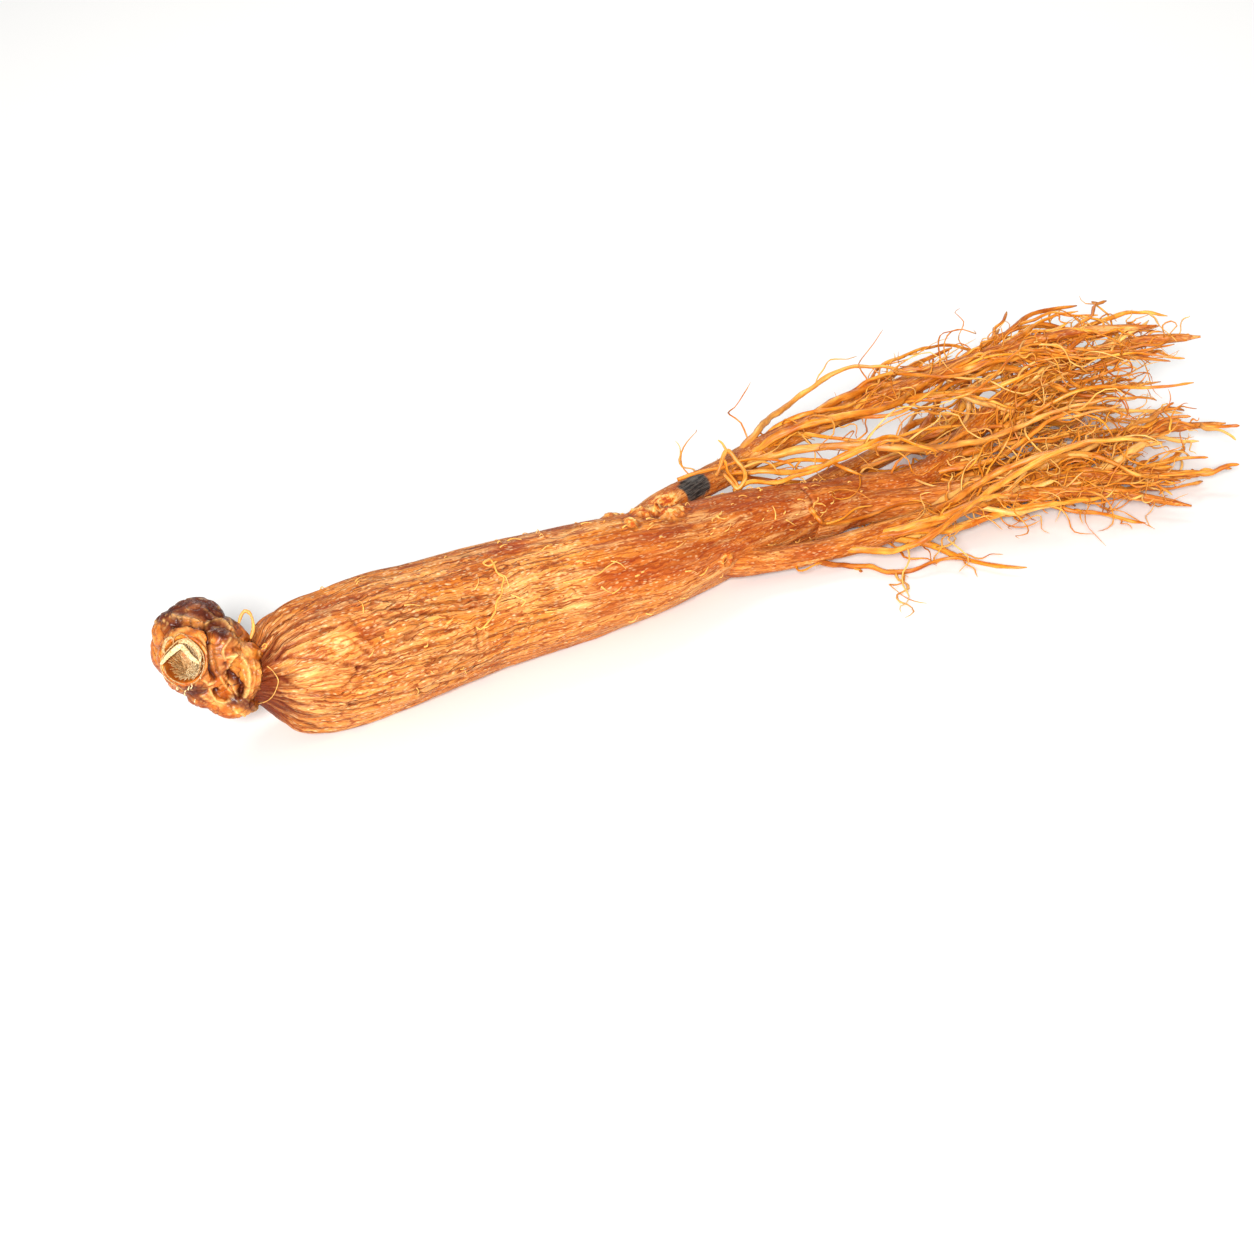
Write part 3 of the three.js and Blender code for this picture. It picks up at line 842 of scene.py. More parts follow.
# Golden rootlets that can be told apart in the photo: a knot beside the black scar with its
# ends, and one that leaves the near side of the tail. Points, thick and thin radius.
STRANDS = [
    ([(53.6, 11.9, 15.9), (57.9, 10.4, 16.8), (60.7, 8.9, 17.3), (62.9, 8.4, 17.6),
     (65.5, 7.8, 17.7), (69.4, 6.2, 17.5), (72.4, 4.7, 16.7), (74.2, 3.6, 15.2)], 0.4, 0.16),
    ([(59.7, 8.2, 16.2), (61.0, 8.4, 17.6), (62.8, 8.9, 19.9), (63.7, 7.7, 18.6),
     (64.5, 6.3, 17.1), (64.3, 5.4, 15.0), (62.7, 5.6, 13.5), (62.0, 7.1, 14.8),
     (61.5, 8.3, 16.1)], 0.42, 0.4),
    ([(61.9, 8.6, 18.7), (62.2, 8.0, 16.6), (63.0, 6.6, 14.6), (63.2, 5.9, 13.2)], 0.3, 0.3),
    ([(62.8, 8.9, 19.9), (62.4, 9.6, 21.4), (61.6, 9.9, 22.3)], 0.28, 0.1),
    ([(64.5, 6.3, 17.1), (67.6, 5.6, 17.6), (70.2, 5.4, 16.4), (71.5, 4.6, 14.6)], 0.24, 0.1),
    ([(62.3, 6.3, 12.9), (65.6, 5.9, 13.9), (69.3, 4.7, 13.3), (74.3, 3.2, 13.5),
     (79.6, 1.8, 14.2), (84.2, 1.0, 15.2), (91.1, -0.9, 16.6), (99.0, -2.0, 17.4),
     (108.0, -4.5, 17.0)], 0.5, 0.28),
    ([(73.2, -2.6, 9.6), (73.8, -3.5, 7.8), (75.2, -4.1, 6.2), (79.9, -4.2, 5.0),
     (85.1, -4.4, 4.8), (91.0, -5.4, 5.6), (98.0, -6.8, 5.2)], 0.5, 0.25),
    ([(75.2, -4.1, 6.2), (78.4, -5.3, 6.4), (82.0, -5.0, 7.4), (85.5, -5.8, 7.4)], 0.25, 0.1),
]


def make_thin_roots(name, plan, sides, cuts, seed, lumpy, hold):
    """One piece of many thin roots: how lumpy they are, and how long they hold their width."""
    bar = round_bar(sides, *cuts)
    bent, paints = [], []
    tint = draws(seed)
    for number, (points, thick, thin) in enumerate(plan):
        length = length_of(points)
        even = taper(thick, thin, hold)
        kept = {}

        def relief(share, angle, radius):
            along = share * length
            swell = ripple(along / 2.6, number * 1.3, 0.4, seed)
            knots = ripple(along / 0.9, number * 0.7, angle, seed + 1)
            wave = ripple(along / 3, radius * np.cos(angle) / 0.5, number, seed + 2)
            kept["wave"] = wave
            return radius * lumpy * (0.6 * swell + 0.3 * knots + 0.4 * wave)

        corners, share, angle, radius = bend_bar(bar, points, even, relief)
        along = share * length
        shake = min(0.5, 1.2 * thick) * smooth_step(0, 0.1, share)
        for axis in range(3):
            wobble = ripple(along / 4.5, number * 0.9, axis + 0.5, seed + 5 + axis)
            corners[:, axis] += shake * wobble * (0.5 if axis == 2 else 1)
        corners[:, 2] = np.maximum(corners[:, 2], 0.02)
        bent.append(corners)
        shade = tint()
        paints.append(
            {
                "gold": np.clip(0.2 + 1.0 * shade + 0.3 * kept["wave"], 0, 1),
                "dark": np.clip(0.3 * hump(kept["wave"], 0.12) * (thick > 0.3), 0, 1),
                "pale": np.clip(smooth_step(0.6, 1.0, tint()) + 0.4 * kept["wave"], 0, 1),
                "grain": thin_root_grain(share, angle, radius, length, number),
            }
        )
    return many_bars(name, bar, bent, paints)


# ---------------------------------------------------------------- head
# Lumps that melt into the head: the middle and the half sizes of each.
HEAD_LUMPS = {
    "core": ([-46.2, 6.4, 15.0], [7.6, 7.6, 7.4]),
    "scar_lobe": ([-50.2, 4.6, 17.0], [5.4, 5.4, 6.4]),
    "crown": ([-47.0, 9.0, 20.6], [5.4, 5.0, 4.4]),
    "front_lobe": ([-45.8, 1.2, 17.6], [3.0, 3.0, 5.0]),
    "amber_lobe": ([-42.4, 0.6, 13.2], [4.2, 4.2, 5.6]),
    "rim_lobe": ([-44.8, 1.2, 9.4], [4.8, 4.2, 3.2]),
    "shoulder": ([-50.0, 10.0, 19.4], [3.8, 4.2, 4.0]),
    "chin": ([-49.0, 3.2, 11.8], [3.6, 3.6, 3.4]),
    "nape": ([-48.4, 12.0, 15.0], [5.4, 4.6, 5.4]),
}
# The old stem's scar: a cup on a short stump, with its middle at the mouth.
SCAR_CENTRE = Vector((-53.2, 0.7, 19.4))
SCAR_FACING = Vector((-0.6, -0.68, 0.42)).normalized()
SCAR_RADIUS = 3.7
SCAR_DEPTH = 2.2
SCAR_RIM = 0.45
STEM_BASE = 4.4
SCAR_SEED = 19
CUP_FIBRES = 200
CUP_RINGS = (0.34, 0.62)
HEAD_VOXEL = 0.18
HEAD_MIDDLE = Vector(HEAD_LUMPS["core"][0])
scar_turn = Vector((0, 0, 1)).rotation_difference(SCAR_FACING).to_matrix()
scar_side = scar_turn @ Vector((1, 0, 0))
scar_over = scar_turn @ Vector((0, 1, 0))


def seen_from_front(points):
    """Places across and up from the head's middle, as the viewpoint shows them."""
    rays = np.asarray(points) - np.array(eye)
    middle = np.array(HEAD_MIDDLE - eye)
    far = middle @ -np.array(back)
    flat = []
    for axis in (view_right, view_up):
        across = rays @ np.array(axis) / (rays @ -np.array(back)) * far
        flat.append(across - middle @ np.array(axis))
    return flat


# Lines that the head's folds and edges follow, across and up from its middle as seen from
# the front: path, half width, height, and how dark, pale, maroon and amber each makes it.
# The dark on sunk folds, creases and holes is painted shade; the pale on raised crests and
# rims is partly the skin's pale edges, partly painted highlight, and the flap's and crown's
# light lines are painted highlights.
HEAD_LINES = [
    ("flap rim", [(-0.7, 5.5), (0.0, 6.2), (1.0, 6.5), (2.0, 6.4), (2.9, 5.7), (3.5, 4.9)], 0.22,
     0.5, 0, 1.0, 0, 0.4),
    ("under flap rim", [(0.3, 5.2), (1.4, 5.5), (2.5, 4.7)], 0.7, -0.3, 0.25, 0, 1.0, 0),
    ("flap top", [(1.0, 4.5), (2.4, 4.0), (3.2, 3.0)], 1.0, 0.1, 0.1, 0, 0.9, 0),
    ("flap crease", [(-0.5, 4.9), (-0.1, 3.5), (-0.1, 1.3), (0.0, -0.7), (0.4, -2.4), (1.0, -3.5)],
     0.3, -0.8, 0.85, 0, 0.2, 0),
    ("left crest", [(-1.7, 3.7), (-0.9, 2.7), (-0.5, 1.5), (-0.3, 0.7)], 0.24, 0.45, 0, 0.9, 0,
     0.6),
    ("upper ridge", [(-3.5, 4.9), (-2.0, 4.5), (-0.8, 3.2)], 0.9, 0.35, 0, 0.1, -0.8, 1.0),
    ("lower ridge", [(-0.6, -0.0), (-0.5, -1.7), (-0.2, -3.4)], 0.5, 0.3, 0, 0.15, -0.5, 1.0),
    ("flap hook", [(3.5, 3.2), (2.9, 2.3), (2.4, 1.5), (2.3, 0.6), (2.7, -0.0), (3.5, 0.2),
     (4.2, 0.7)], 0.2, 0.35, 0, 0.9, 0, 0.5),
    ("flap right edge", [(4.2, 0.5), (3.8, -0.3), (3.5, -1.3), (2.9, -2.6)], 0.22, 0.45, 0, 0.9, 0,
     0.5),
    ("flap belly", [(1.0, 1.3), (1.4, -0.3), (1.7, -2.0)], 1.0, 0.4, 0, 0.2, -0.3, 0.3),
    ("deep fold", [(3.3, -2.5), (4.0, -3.5), (4.9, -4.7), (5.3, -5.8)], 0.5, -1.1, 1.0, 0, 0, 0),
    ("deep fold wall", [(4.0, -1.3), (4.9, -3.0), (5.6, -4.7)], 0.8, -0.5, 0.3, 0, 0, 0.9),
    ("amber crest", [(4.8, 0.7), (5.9, -0.1), (6.6, -1.5), (6.8, -3.4), (6.6, -4.9), (6.0, -6.1)],
     0.42, 0.6, 0, 0.75, 0, 1.0),
    ("amber top", [(4.9, 2.7), (5.9, 1.8), (6.7, 0.7)], 0.6, 0.25, 0, 0.6, -0.5, 1.0),
    ("amber side", [(7.7, -1.0), (8.2, -3.0), (8.1, -5.0)], 1.0, 0.2, 0.1, 0.15, -0.5, 1.0),
    ("edge crease", [(9.1, -0.3), (9.6, -2.9), (9.2, -5.4), (8.1, -6.9)], 0.5, -0.5, 0.8, 0, 0.9,
     0),
    ("rib one", [(1.9, -3.2), (2.7, -4.5), (3.9, -6.0)], 0.2, 0.3, 0, 0.8, 0, 0.9),
    ("rib two", [(3.0, -3.4), (3.9, -4.7), (4.8, -6.2)], 0.2, 0.3, 0, 0.7, 0, 0.9),
    ("rib groove", [(2.4, -3.2), (3.3, -4.6), (4.4, -6.2)], 0.16, -0.25, 0.5, 0, 0, 0.6),
    ("cup rim", [(0.1, -5.1), (0.5, -6.2), (1.3, -7.2), (2.5, -7.6), (3.5, -7.2)], 0.25, 0.5, 0,
     1.0, 0, 0.8),
    ("cup hollow", [(1.0, -5.4), (1.7, -6.4), (2.7, -6.7)], 0.4, -0.5, 0.6, 0, 0, 0.5),
    ("lower hole", [(1.3, -5.3), (1.5, -5.5)], 0.25, -0.5, 1.0, 0, 0.3, 0),
    ("knob", [(4.4, -7.0), (5.7, -7.4), (7.1, -8.1)], 1.1, 0.35, 0.3, 0, 1.3, 0),
    ("knob edge", [(4.0, -8.6), (4.9, -9.1), (6.1, -9.4), (7.4, -8.7), (7.9, -8.2)], 0.25, 0.3, 0,
     0.7, -0.4, 0.8),
    ("chin shade", [(-3.2, -5.6), (-1.4, -5.6)], 1.1, -0.2, 0.3, 0, 1.3, 0),
    ("chin rim", [(-0.8, -3.8), (-0.2, -4.3), (0.9, -4.1)], 0.2, 0.3, 0, 0.9, 0, 0.4),
    ("bottom edge", [(-1.3, -6.4), (0.0, -7.0), (2.0, -7.9)], 0.3, 0.15, 0, 0.5, -0.3, 0.8),
    ("crown crease", [(-5.9, 5.5), (-4.3, 5.5), (-2.7, 5.3), (-1.3, 4.9), (-0.5, 4.5)], 0.3, -0.6,
     0.85, 0, 0.5, 0),
    ("crown bumps", [(-5.9, 7.1), (-4.9, 6.7), (-3.7, 6.6), (-2.3, 6.2), (-1.3, 5.6)], 0.5, 0.35,
     0, 0.35, -0.2, 0.5),
    ("crown shade", [(-2.0, 9.2), (0.0, 8.7), (1.4, 7.4), (2.7, 6.4)], 1.4, 0.0, 0.3, 0, 1.2, 0),
    ("crown band", [(-4.3, 7.8), (-2.7, 7.6), (-0.7, 7.2), (0.3, 6.7)], 0.5, -0.2, 0.35, 0, 1.2,
     0),
    ("left crown", [(-8.5, 8.1), (-7.7, 6.7), (-6.4, 5.0)], 1.2, 0.0, 0.15, 0, 0.7, 0),
    ("left edge", [(-9.1, 4.4), (-9.0, 2.7), (-8.4, 0.7)], 0.8, 0.15, 0, 0.1, -1, 0.9),
    ("scar brow", [(-5.7, 4.0), (-4.9, 4.6), (-4.0, 4.7)], 0.4, 0.35, 0, 0.5, -0.8, 1.0),
    ("crown edge", [(1.8, 8.9), (2.7, 8.0), (3.4, 6.4), (4.1, 4.7), (4.5, 3.4)], 0.25, 0.2, 0, 0.7,
     -0.5, 0.8),
    ("amber striae", [(7.3, -0.3), (7.7, -2.0), (7.6, -3.7), (7.2, -5.4)], 0.2, 0.3, 0, 0.5, 0,
     0.9),
    ("amber striae", [(8.2, -0.8), (8.6, -2.5), (8.4, -4.5)], 0.2, 0.25, 0, 0.45, 0, 0.9),
    ("amber striae", [(5.6, -2.0), (6.1, -3.4), (6.1, -4.7)], 0.2, 0.25, 0, 0.5, 0, 0.9),
    ("flap highlight", [(0.2, 3.0), (0.3, 1.0), (0.5, -1.0)], 0.2, 0.2, 0, 0.5, -0.3, 0.4),
    ("crown fold", [(0.0, 8.6), (1.0, 7.5), (2.0, 6.9)], 0.3, -0.4, 0.6, 0, 0.6, 0),
    ("crown highlight", [(-0.8, 8.2), (0.2, 7.8), (1.0, 6.9)], 0.2, 0.2, 0, 0.3, -0.3, 0.3),
]
# Grains, pits and bright specks: across, up, half width, height, how dark and how pale.
# The pits' dark is painted shade and the bright specks are painted highlights.
HEAD_GRAINS = [
    (-5.7, 7.0, 0.35, 0.35, 0, 0.5), (-4.9, 6.6, 0.35, 0.35, 0, 0.5),
    (-4.1, 6.7, 0.35, 0.35, 0, 0.45), (-3.3, 6.4, 0.35, 0.35, 0, 0.5),
    (-2.6, 6.4, 0.3, 0.35, 0, 0.5), (-2.0, 6.1, 0.35, 0.4, 0, 0.7), (-1.3, 5.6, 0.3, 0.3, 0, 0.5),
    (-4.5, 6.4, 0.25, -0.3, 0.6, 0), (-3.0, 6.0, 0.25, -0.3, 0.6, 0),
    (-5.3, 6.4, 0.25, -0.3, 0.5, 0), (-9.1, 6.1, 0.3, 0.15, 0, 1.0),
    (-7.5, 6.2, 0.22, 0.1, 0, 0.9), (-9.6, 6.6, 0.22, 0.1, 0, 0.9), (1.8, 8.6, 0.3, 0.1, 0, 1.0),
    (2.7, -0.9, 0.35, -0.3, 0.9, 0), (5.3, -5.6, 0.4, -0.5, 1.0, 0),
    (-3.5, 4.9, 0.35, 0.2, 0, 0.6), (2.3, 2.5, 0.22, 0.15, 0, 0.8), (3.3, -7.2, 0.25, 0.2, 0, 0.8),
    (4.6, -9.0, 0.25, 0.15, 0, 1.0), (7.6, -8.4, 0.3, 0.2, 0, 0.6),
]


def make_head():
    clear_selection()
    lumps = []
    for at, size in HEAD_LUMPS.values():
        bpy.ops.mesh.primitive_uv_sphere_add(
            segments=40, ring_count=24, radius=MM, location=Vector(at) * MM, scale=size
        )
        lumps.append(bpy.context.object)
    wide = SCAR_RADIUS + SCAR_RIM
    bpy.ops.mesh.primitive_cone_add(
        vertices=64,
        radius1=0.8 * wide * MM,
        radius2=wide * MM,
        depth=STEM_BASE * MM,
        location=(SCAR_CENTRE - SCAR_FACING * STEM_BASE / 2) * MM,
        rotation=scar_turn.to_euler(),
    )
    lumps.append(bpy.context.object)
    for lump in lumps:
        lump.select_set(True)
    bpy.context.view_layer.objects.active = lumps[0]
    bpy.ops.object.join()
    head = bpy.context.object
    head.name = "head"
    bpy.ops.object.transform_apply(location=True, rotation=True, scale=True)
    remesh = head.modifiers.new("skin", "REMESH")
    remesh.mode = "VOXEL"
    remesh.voxel_size = HEAD_VOXEL * MM
    bpy.ops.object.modifier_apply(modifier="skin")
    soften = head.modifiers.new("soften", "SMOOTH")
    soften.factor = 0.5
    soften.iterations = 6
    bpy.ops.object.modifier_apply(modifier="soften")

    mesh = head.data
    corners = corners_of(mesh) / MM
    normals = np.zeros(len(mesh.vertices) * 3)
    mesh.vertices.foreach_get("normal", normals)
    normals = normals.reshape(-1, 3)
    p, q, r = corners.T
    facing = smooth_step(-0.2, 0.25, normals @ np.array(back))
    across, up = seen_from_front(corners)
    wrinkle = ripple(p / 2.4, q / 2.4, r / 1.3, 7)
    fold = ripple(p / 3.6, q / 3.6, r / 3.0, 8)
    crumb = ripple(p / 0.8, q / 0.8, r / 0.7, 9)
    speck = ripple(p / 0.45, q / 0.45, r / 0.45, 10)
    height = 0.32 * fold + 0.15 * np.abs(wrinkle) + 0.06 * crumb - 0.16 * hump(wrinkle, 0.1)
    height = height + 0.03 * speck
    right = smooth_step(3.4, 4.8, across + 0.7 * wrinkle) * (1 - smooth_step(0, 3, up))
    height = height + (0.1 * crumb + 0.07 * speck) * right * facing
    # Painted shade darkens the head's sunk wrinkles, low folds and crumb pits. The pale on raised
    # crumbs is partly the skin's own grain, partly painted highlight, and the pale specks are
    # painted highlights.
    dark = 0.4 * hump(wrinkle, 0.1) + 0.3 * (1 - smooth_step(-0.7, 0.1, fold))
    dark = dark + 0.3 * smooth_step(0.25, 0.7, -crumb)
    pale = 0.35 * smooth_step(0.25, 0.7, crumb) + 0.3 * smooth_step(0.4, 0.8, speck)
    top = smooth_step(4.6, 7.0, up + 0.8 * fold)
    maroon = 0.95 * top + 0.25 * smooth_step(-0.2, 0.6, fold)
    amber = np.maximum(right, 0.35 * (1 - smooth_step(-0.6, 0.0, fold)))
    hidden = 1 - facing
    maroon = maroon * (1 - 0.6 * hidden) + 0.35 * hidden
    for _, path, width, lift, how_dark, how_pale, how_maroon, how_amber in HEAD_LINES:
        far = line_distance(across, up, path) + 0.12 * crumb + 0.1 * wrinkle
        reach = hump(far, width) * facing * (1 + 0.35 * crumb + 0.2 * speck)
        height += lift * reach
        dark = dark + how_dark * reach
        pale = np.maximum(pale, 0.8 * how_pale * reach)
        maroon = maroon + how_maroon * reach
        amber = np.maximum(amber, how_amber * reach)
    for grain_across, grain_up, width, lift, how_dark, how_pale in HEAD_GRAINS:
        far = np.hypot(across - grain_across, up - grain_up) + 0.08 * crumb
        reach = hump(far, width) * facing
        height += lift * reach
        dark = dark + how_dark * reach
        pale = np.maximum(pale, how_pale * reach)

    # The scar's cup and the dry skin round its mouth.
    from_scar = corners - np.array(SCAR_CENTRE)
    out = from_scar @ np.array(SCAR_FACING)
    aside = np.hypot(from_scar @ np.array(scar_side), from_scar @ np.array(scar_over))
    near = (out > -2.0) & (aside < wide + 1.6)
    mouth = near & (aside < SCAR_RADIUS) & (out > -0.8)
    height = np.where(near, height * 0.25, height)
    corners = corners + normals * height[:, None]
    sunk = SCAR_DEPTH * (1 - (np.clip(aside / SCAR_RADIUS, 0, 1)) ** 3)
    corners -= np.where(mouth, sunk, 0)[:, None] * np.array(SCAR_FACING)
    dark = np.where(mouth, 0.3 + 0.35 * hump(aside - 3.1, 0.5), dark * np.where(near, 0.5, 1))
    maroon = np.where(near, 0, maroon)
    amber = np.where(near, 0.9, amber)
    pale = np.where(mouth, 0.25 * hump(aside - 1.2, 0.9), pale)
    mesh.vertices.foreach_set("co", (corners * MM).ravel())
    paint(
        head,
        {
            "dark": np.clip(dark, 0, 1.2),
            "pale": np.clip(pale, 0, 1),
            "maroon": np.clip(maroon, 0, 1),
            "amber": np.clip(amber, 0, 1),
        },
    )
    return head


def scar_place(along, around, out):
    """A place from the scar's middle: to its side, over it and out of it."""
    return np.array(SCAR_CENTRE + scar_side * along + scar_over * around + SCAR_FACING * out)


def on_scar_plane(across, up, out):
    """The place on the scar's plane that lies at a place as seen from the front."""
    ray = HEAD_MIDDLE + view_right * across + view_up * up - eye
    to_plane = SCAR_CENTRE + SCAR_FACING * out - eye
    return np.array(eye + ray * (to_plane.dot(SCAR_FACING) / ray.dot(SCAR_FACING)))


def flat_strip(bar, route, wide, thick, facing):
    """Corners of a bar pressed into a flat strip that lies across a facing."""
    levels, where, middle, side, top = lay_along(bar, route, facing)
    ends = np.sin(np.pi * np.clip(0.06 + 0.9 * levels, 0, 1)) ** 0.5
    up = (bar[0][:, 0] * thick)[:, None] * top
    aside = (bar[0][:, 1] * wide * ends[where])[:, None] * side
    return middle + up + aside


# Pale flecks of frayed skin under the scar, across and up as seen from the front.
FLECKS = [
    (-4.1, -5.7), (-3.8, -5.4), (-3.3, -4.7), (-3.0, -4.2), (-2.8, -4.7), (-3.6, -5.1),
    (-5.1, -5.1), (-2.3, -6.9), (-1.6, -0.7), (-1.3, -2.7), (-5.2, -4.7), (-2.0, -0.8),
]
# Strips of dry skin round the old stem's scar, across and up from the head's middle as seen
# from the front: path, width, thickness, how far out of the scar's plane, and how cream.
SCAR_STRIPS = [
    ("outer rim", [(-4.2, -5.5), (-5.7, -4.5), (-7.1, -3.5), (-7.8, -2.4), (-8.1, -1.1),
     (-7.4, 0.7), (-5.9, 2.3), (-4.9, 3.0), (-3.5, 3.2), (-2.5, 2.5), (-1.5, 1.5), (-0.9, 0.3),
     (-0.8, -1.2), (-1.2, -2.7), (-2.0, -3.8), (-3.2, -4.5)], 0.12, 0.18, 0.2, 0.55),
    ("inner rim", [(-4.0, -4.5), (-5.2, -4.1), (-6.2, -3.6), (-7.1, -2.7), (-7.5, -1.4)], 0.12,
     0.2, -0.1, 0.45),
    ("right inner rim", [(-2.7, -3.7), (-1.8, -2.5), (-1.4, -1.0), (-1.5, 0.3), (-2.3, 1.5),
     (-3.3, 2.3), (-4.3, 2.7)], 0.14, 0.2, -0.15, 0.4),
    ("curled strip", [(-8.1, -1.1), (-7.4, -0.2), (-6.4, 0.8), (-4.9, 1.9), (-4.0, 1.3),
     (-3.2, 0.3), (-2.2, -0.5), (-1.6, -0.9)], 0.5, 0.1, 0.4, 1.0),
    ("left tissue", [(-7.4, 0.7), (-7.7, 1.5), (-7.2, 2.9), (-6.4, 3.4), (-5.9, 3.0)], 0.3, 0.12,
     0.1, 0.5),
    ("amber lip", [(-6.0, 2.3), (-5.8, 3.5), (-4.9, 4.1), (-4.0, 3.8), (-3.3, 3.2)], 0.15, 0.22,
     0.3, 0.2),
    ("upper skin", [(-5.2, 2.6), (-3.7, 2.7), (-2.3, 1.7), (-1.6, 0.5), (-1.5, -0.7)], 0.42, 0.1,
     0.05, 0.7),
]
# The cup's lowest point, from the scar's middle.
CUP_LOWEST = on_scar_plane(-3.6, -2.5, 0.0) - np.array(SCAR_CENTRE)


def cup_floor(side, over):
    """A place on the scar's cup, a hair's breadth above it."""
    far = min(math.hypot(side, over) / SCAR_RADIUS, 1.0)
    return scar_place(side, over, 0.12 - SCAR_DEPTH * (1 - far**3))


def make_stem_scar():
    """Strips of dry skin round the old stem's scar, and the fibres that line its cup."""
    bar = round_bar(8, 31)
    fine_bar = round_bar(4, 9)
    draw = draws(SCAR_SEED)
    facing = np.array(SCAR_FACING)
    rims, paints = [], []
    for _, path, wide, thick, out, cream in SCAR_STRIPS:
        route = [
            on_scar_plane(a, b, out + 0.12 * math.sin(1.7 * i)) for i, (a, b) in enumerate(path)
        ]
        rims.append(flat_strip(bar, route, wide, thick, facing))
        paints.append({"cream": cream * (0.85 + 0.15 * np.sin(17 * bar[0][:, 2] + wide * 40))})
    pieces = [many_bars("scar_rim", bar, rims, paints)]

    # Fibres run down the cup's wall and meet at its lowest point.
    end_side, end_over = CUP_LOWEST @ np.array(scar_side), CUP_LOWEST @ np.array(scar_over)
    left = np.array(-view_right)
    fibres, paints = [], []
    for _ in range(CUP_FIBRES):
        turn = FULL_TURN * draw()
        top = SCAR_RADIUS * (0.72 + 0.22 * draw())
        start = (top * math.cos(turn), top * math.sin(turn))
        tip = FULL_TURN * draw()
        stop = (end_side + 0.7 * math.cos(tip), end_over + 0.7 * math.sin(tip))
        first, last = 0.5 * draw() ** 2, 0.55 + 0.45 * draw()
        swerve = 0.3 * (draw() - 0.5)
        route = []
        for k in range(5):
            share = first + (last - first) * k / 4
            bow = swerve * math.sin(math.pi * share)
            side = start[0] + (stop[0] - start[0]) * share - bow * math.sin(turn)
            over = start[1] + (stop[1] - start[1]) * share + bow * math.cos(turn)
            route.append(cup_floor(side, over))
        wide = 0.09 + 0.11 * draw()
        fibres.append(flat_strip(fine_bar, route, wide, 0.02, facing))
        leftward = (route[2] - np.array(SCAR_CENTRE)) @ left / SCAR_RADIUS
        cream = np.clip(0.35 - 0.8 * leftward + 0.35 * (draw() - 0.5), 0, 1)
        paints.append({"cream": np.full(len(fine_bar[0]), cream)})
    # Two rings round the lowest point.
    for far in CUP_RINGS:
        ring = [
            cup_floor(end_side + far * math.cos(t), end_over + far * math.sin(t))
            for t in np.linspace(0, FULL_TURN * 0.97, 12)
        ]
        fibres.append(flat_strip(fine_bar, ring, 0.09, 0.12, facing))
        paints.append({"cream": np.full(len(fine_bar[0]), 0.9)})
    # Frayed flecks under the mouth.
    for across, up in FLECKS:
        start = on_scar_plane(across, up, -0.1)
        lean = FULL_TURN * (0.62 + 0.3 * draw())
        push = 0.35 + 0.5 * draw()
        aim = math.cos(lean) * np.array(view_right) + math.sin(lean) * np.array(view_up)
        tip = start + push * aim
        middle = (start + tip) / 2 + 0.15 * facing
        fibres.append(flat_strip(fine_bar, [start, middle, tip], 0.13, 0.07, facing))
        paints.append({"cream": np.full(len(fine_bar[0]), 1.0)})
    pieces.append(many_bars("scar_fibres", fine_bar, fibres, paints))
    return pieces


# ---------------------------------------------------------------- fibres on the skin
# How far above the skin the veins' middle lies, further on the pleated neck.
VEIN_LIFT = 0.12
NECK_LIFT = 0.3
SKIN_HAIRS = 150
SKIN_SEED = 41
# Veins and stubs on the skin: spots at (place, degrees), thick and thin radius.
SKIN_VEINS = [
    ([(-40.3, -40), (-39.9, -51), (-39.7, -67), (-40.0, -80), (-40.6, -99), (-41.3, -118),
     (-42.2, -139)], 0.08, 0.05),
    ([(-39.6, -7), (-39.3, -11), (-38.9, -10), (-39.0, -5), (-39.5, -4)], 0.13, 0.11),
    ([(4.3, -13), (4.2, -20), (3.8, -31), (4.6, -37), (3.5, -44), (3.2, -50), (1.6, -56),
     (0.9, -61), (0.5, -65), (-1.0, -71), (-3.1, -77), (-4.0, -73)], 0.2, 0.15),
    ([(3.8, -31), (4.9, -36), (4.9, -46)], 0.16, 0.1),
    ([(4.3, -13), (2.6, -16), (3.2, -21), (5.2, -18)], 0.24, 0.14),
    ([(4.7, -54), (5.9, -59), (6.9, -64), (5.7, -68)], 0.14, 0.1),
    ([(15.1, -57), (17.3, -58), (20.0, -59), (22.4, -58), (24.2, -54), (26.7, -50)], 0.17, 0.1),
    ([(51.4, -27), (52.6, -25), (53.4, -21)], 0.24, 0.1),
    ([(51.4, -27), (50.2, -29), (49.6, -33)], 0.22, 0.1),
    ([(51.4, -27), (52.0, -32), (53.2, -35)], 0.22, 0.08),
    ([(74.7, -52), (75.8, -48), (76.2, -42)], 0.26, 0.1),
    ([(74.7, -52), (73.9, -60), (74.6, -68)], 0.26, 0.1),
    ([(74.7, -52), (76.4, -56), (77.0, -62)], 0.22, 0.08),
]
# A loop of fibre that stands off the neck.
NECK_LOOP = [
    (-41.0, 5.9, 17.3), (-40.6, 6.1, 18.3), (-39.9, 6.5, 19.7), (-39.2, 6.7, 20.8),
    (-38.4, 6.5, 21.3), (-37.9, 5.8, 20.6), (-38.1, 4.9, 19.0), (-38.7, 4.5, 17.8),
    (-39.6, 4.5, 16.8), (-40.4, 4.7, 15.9),
]


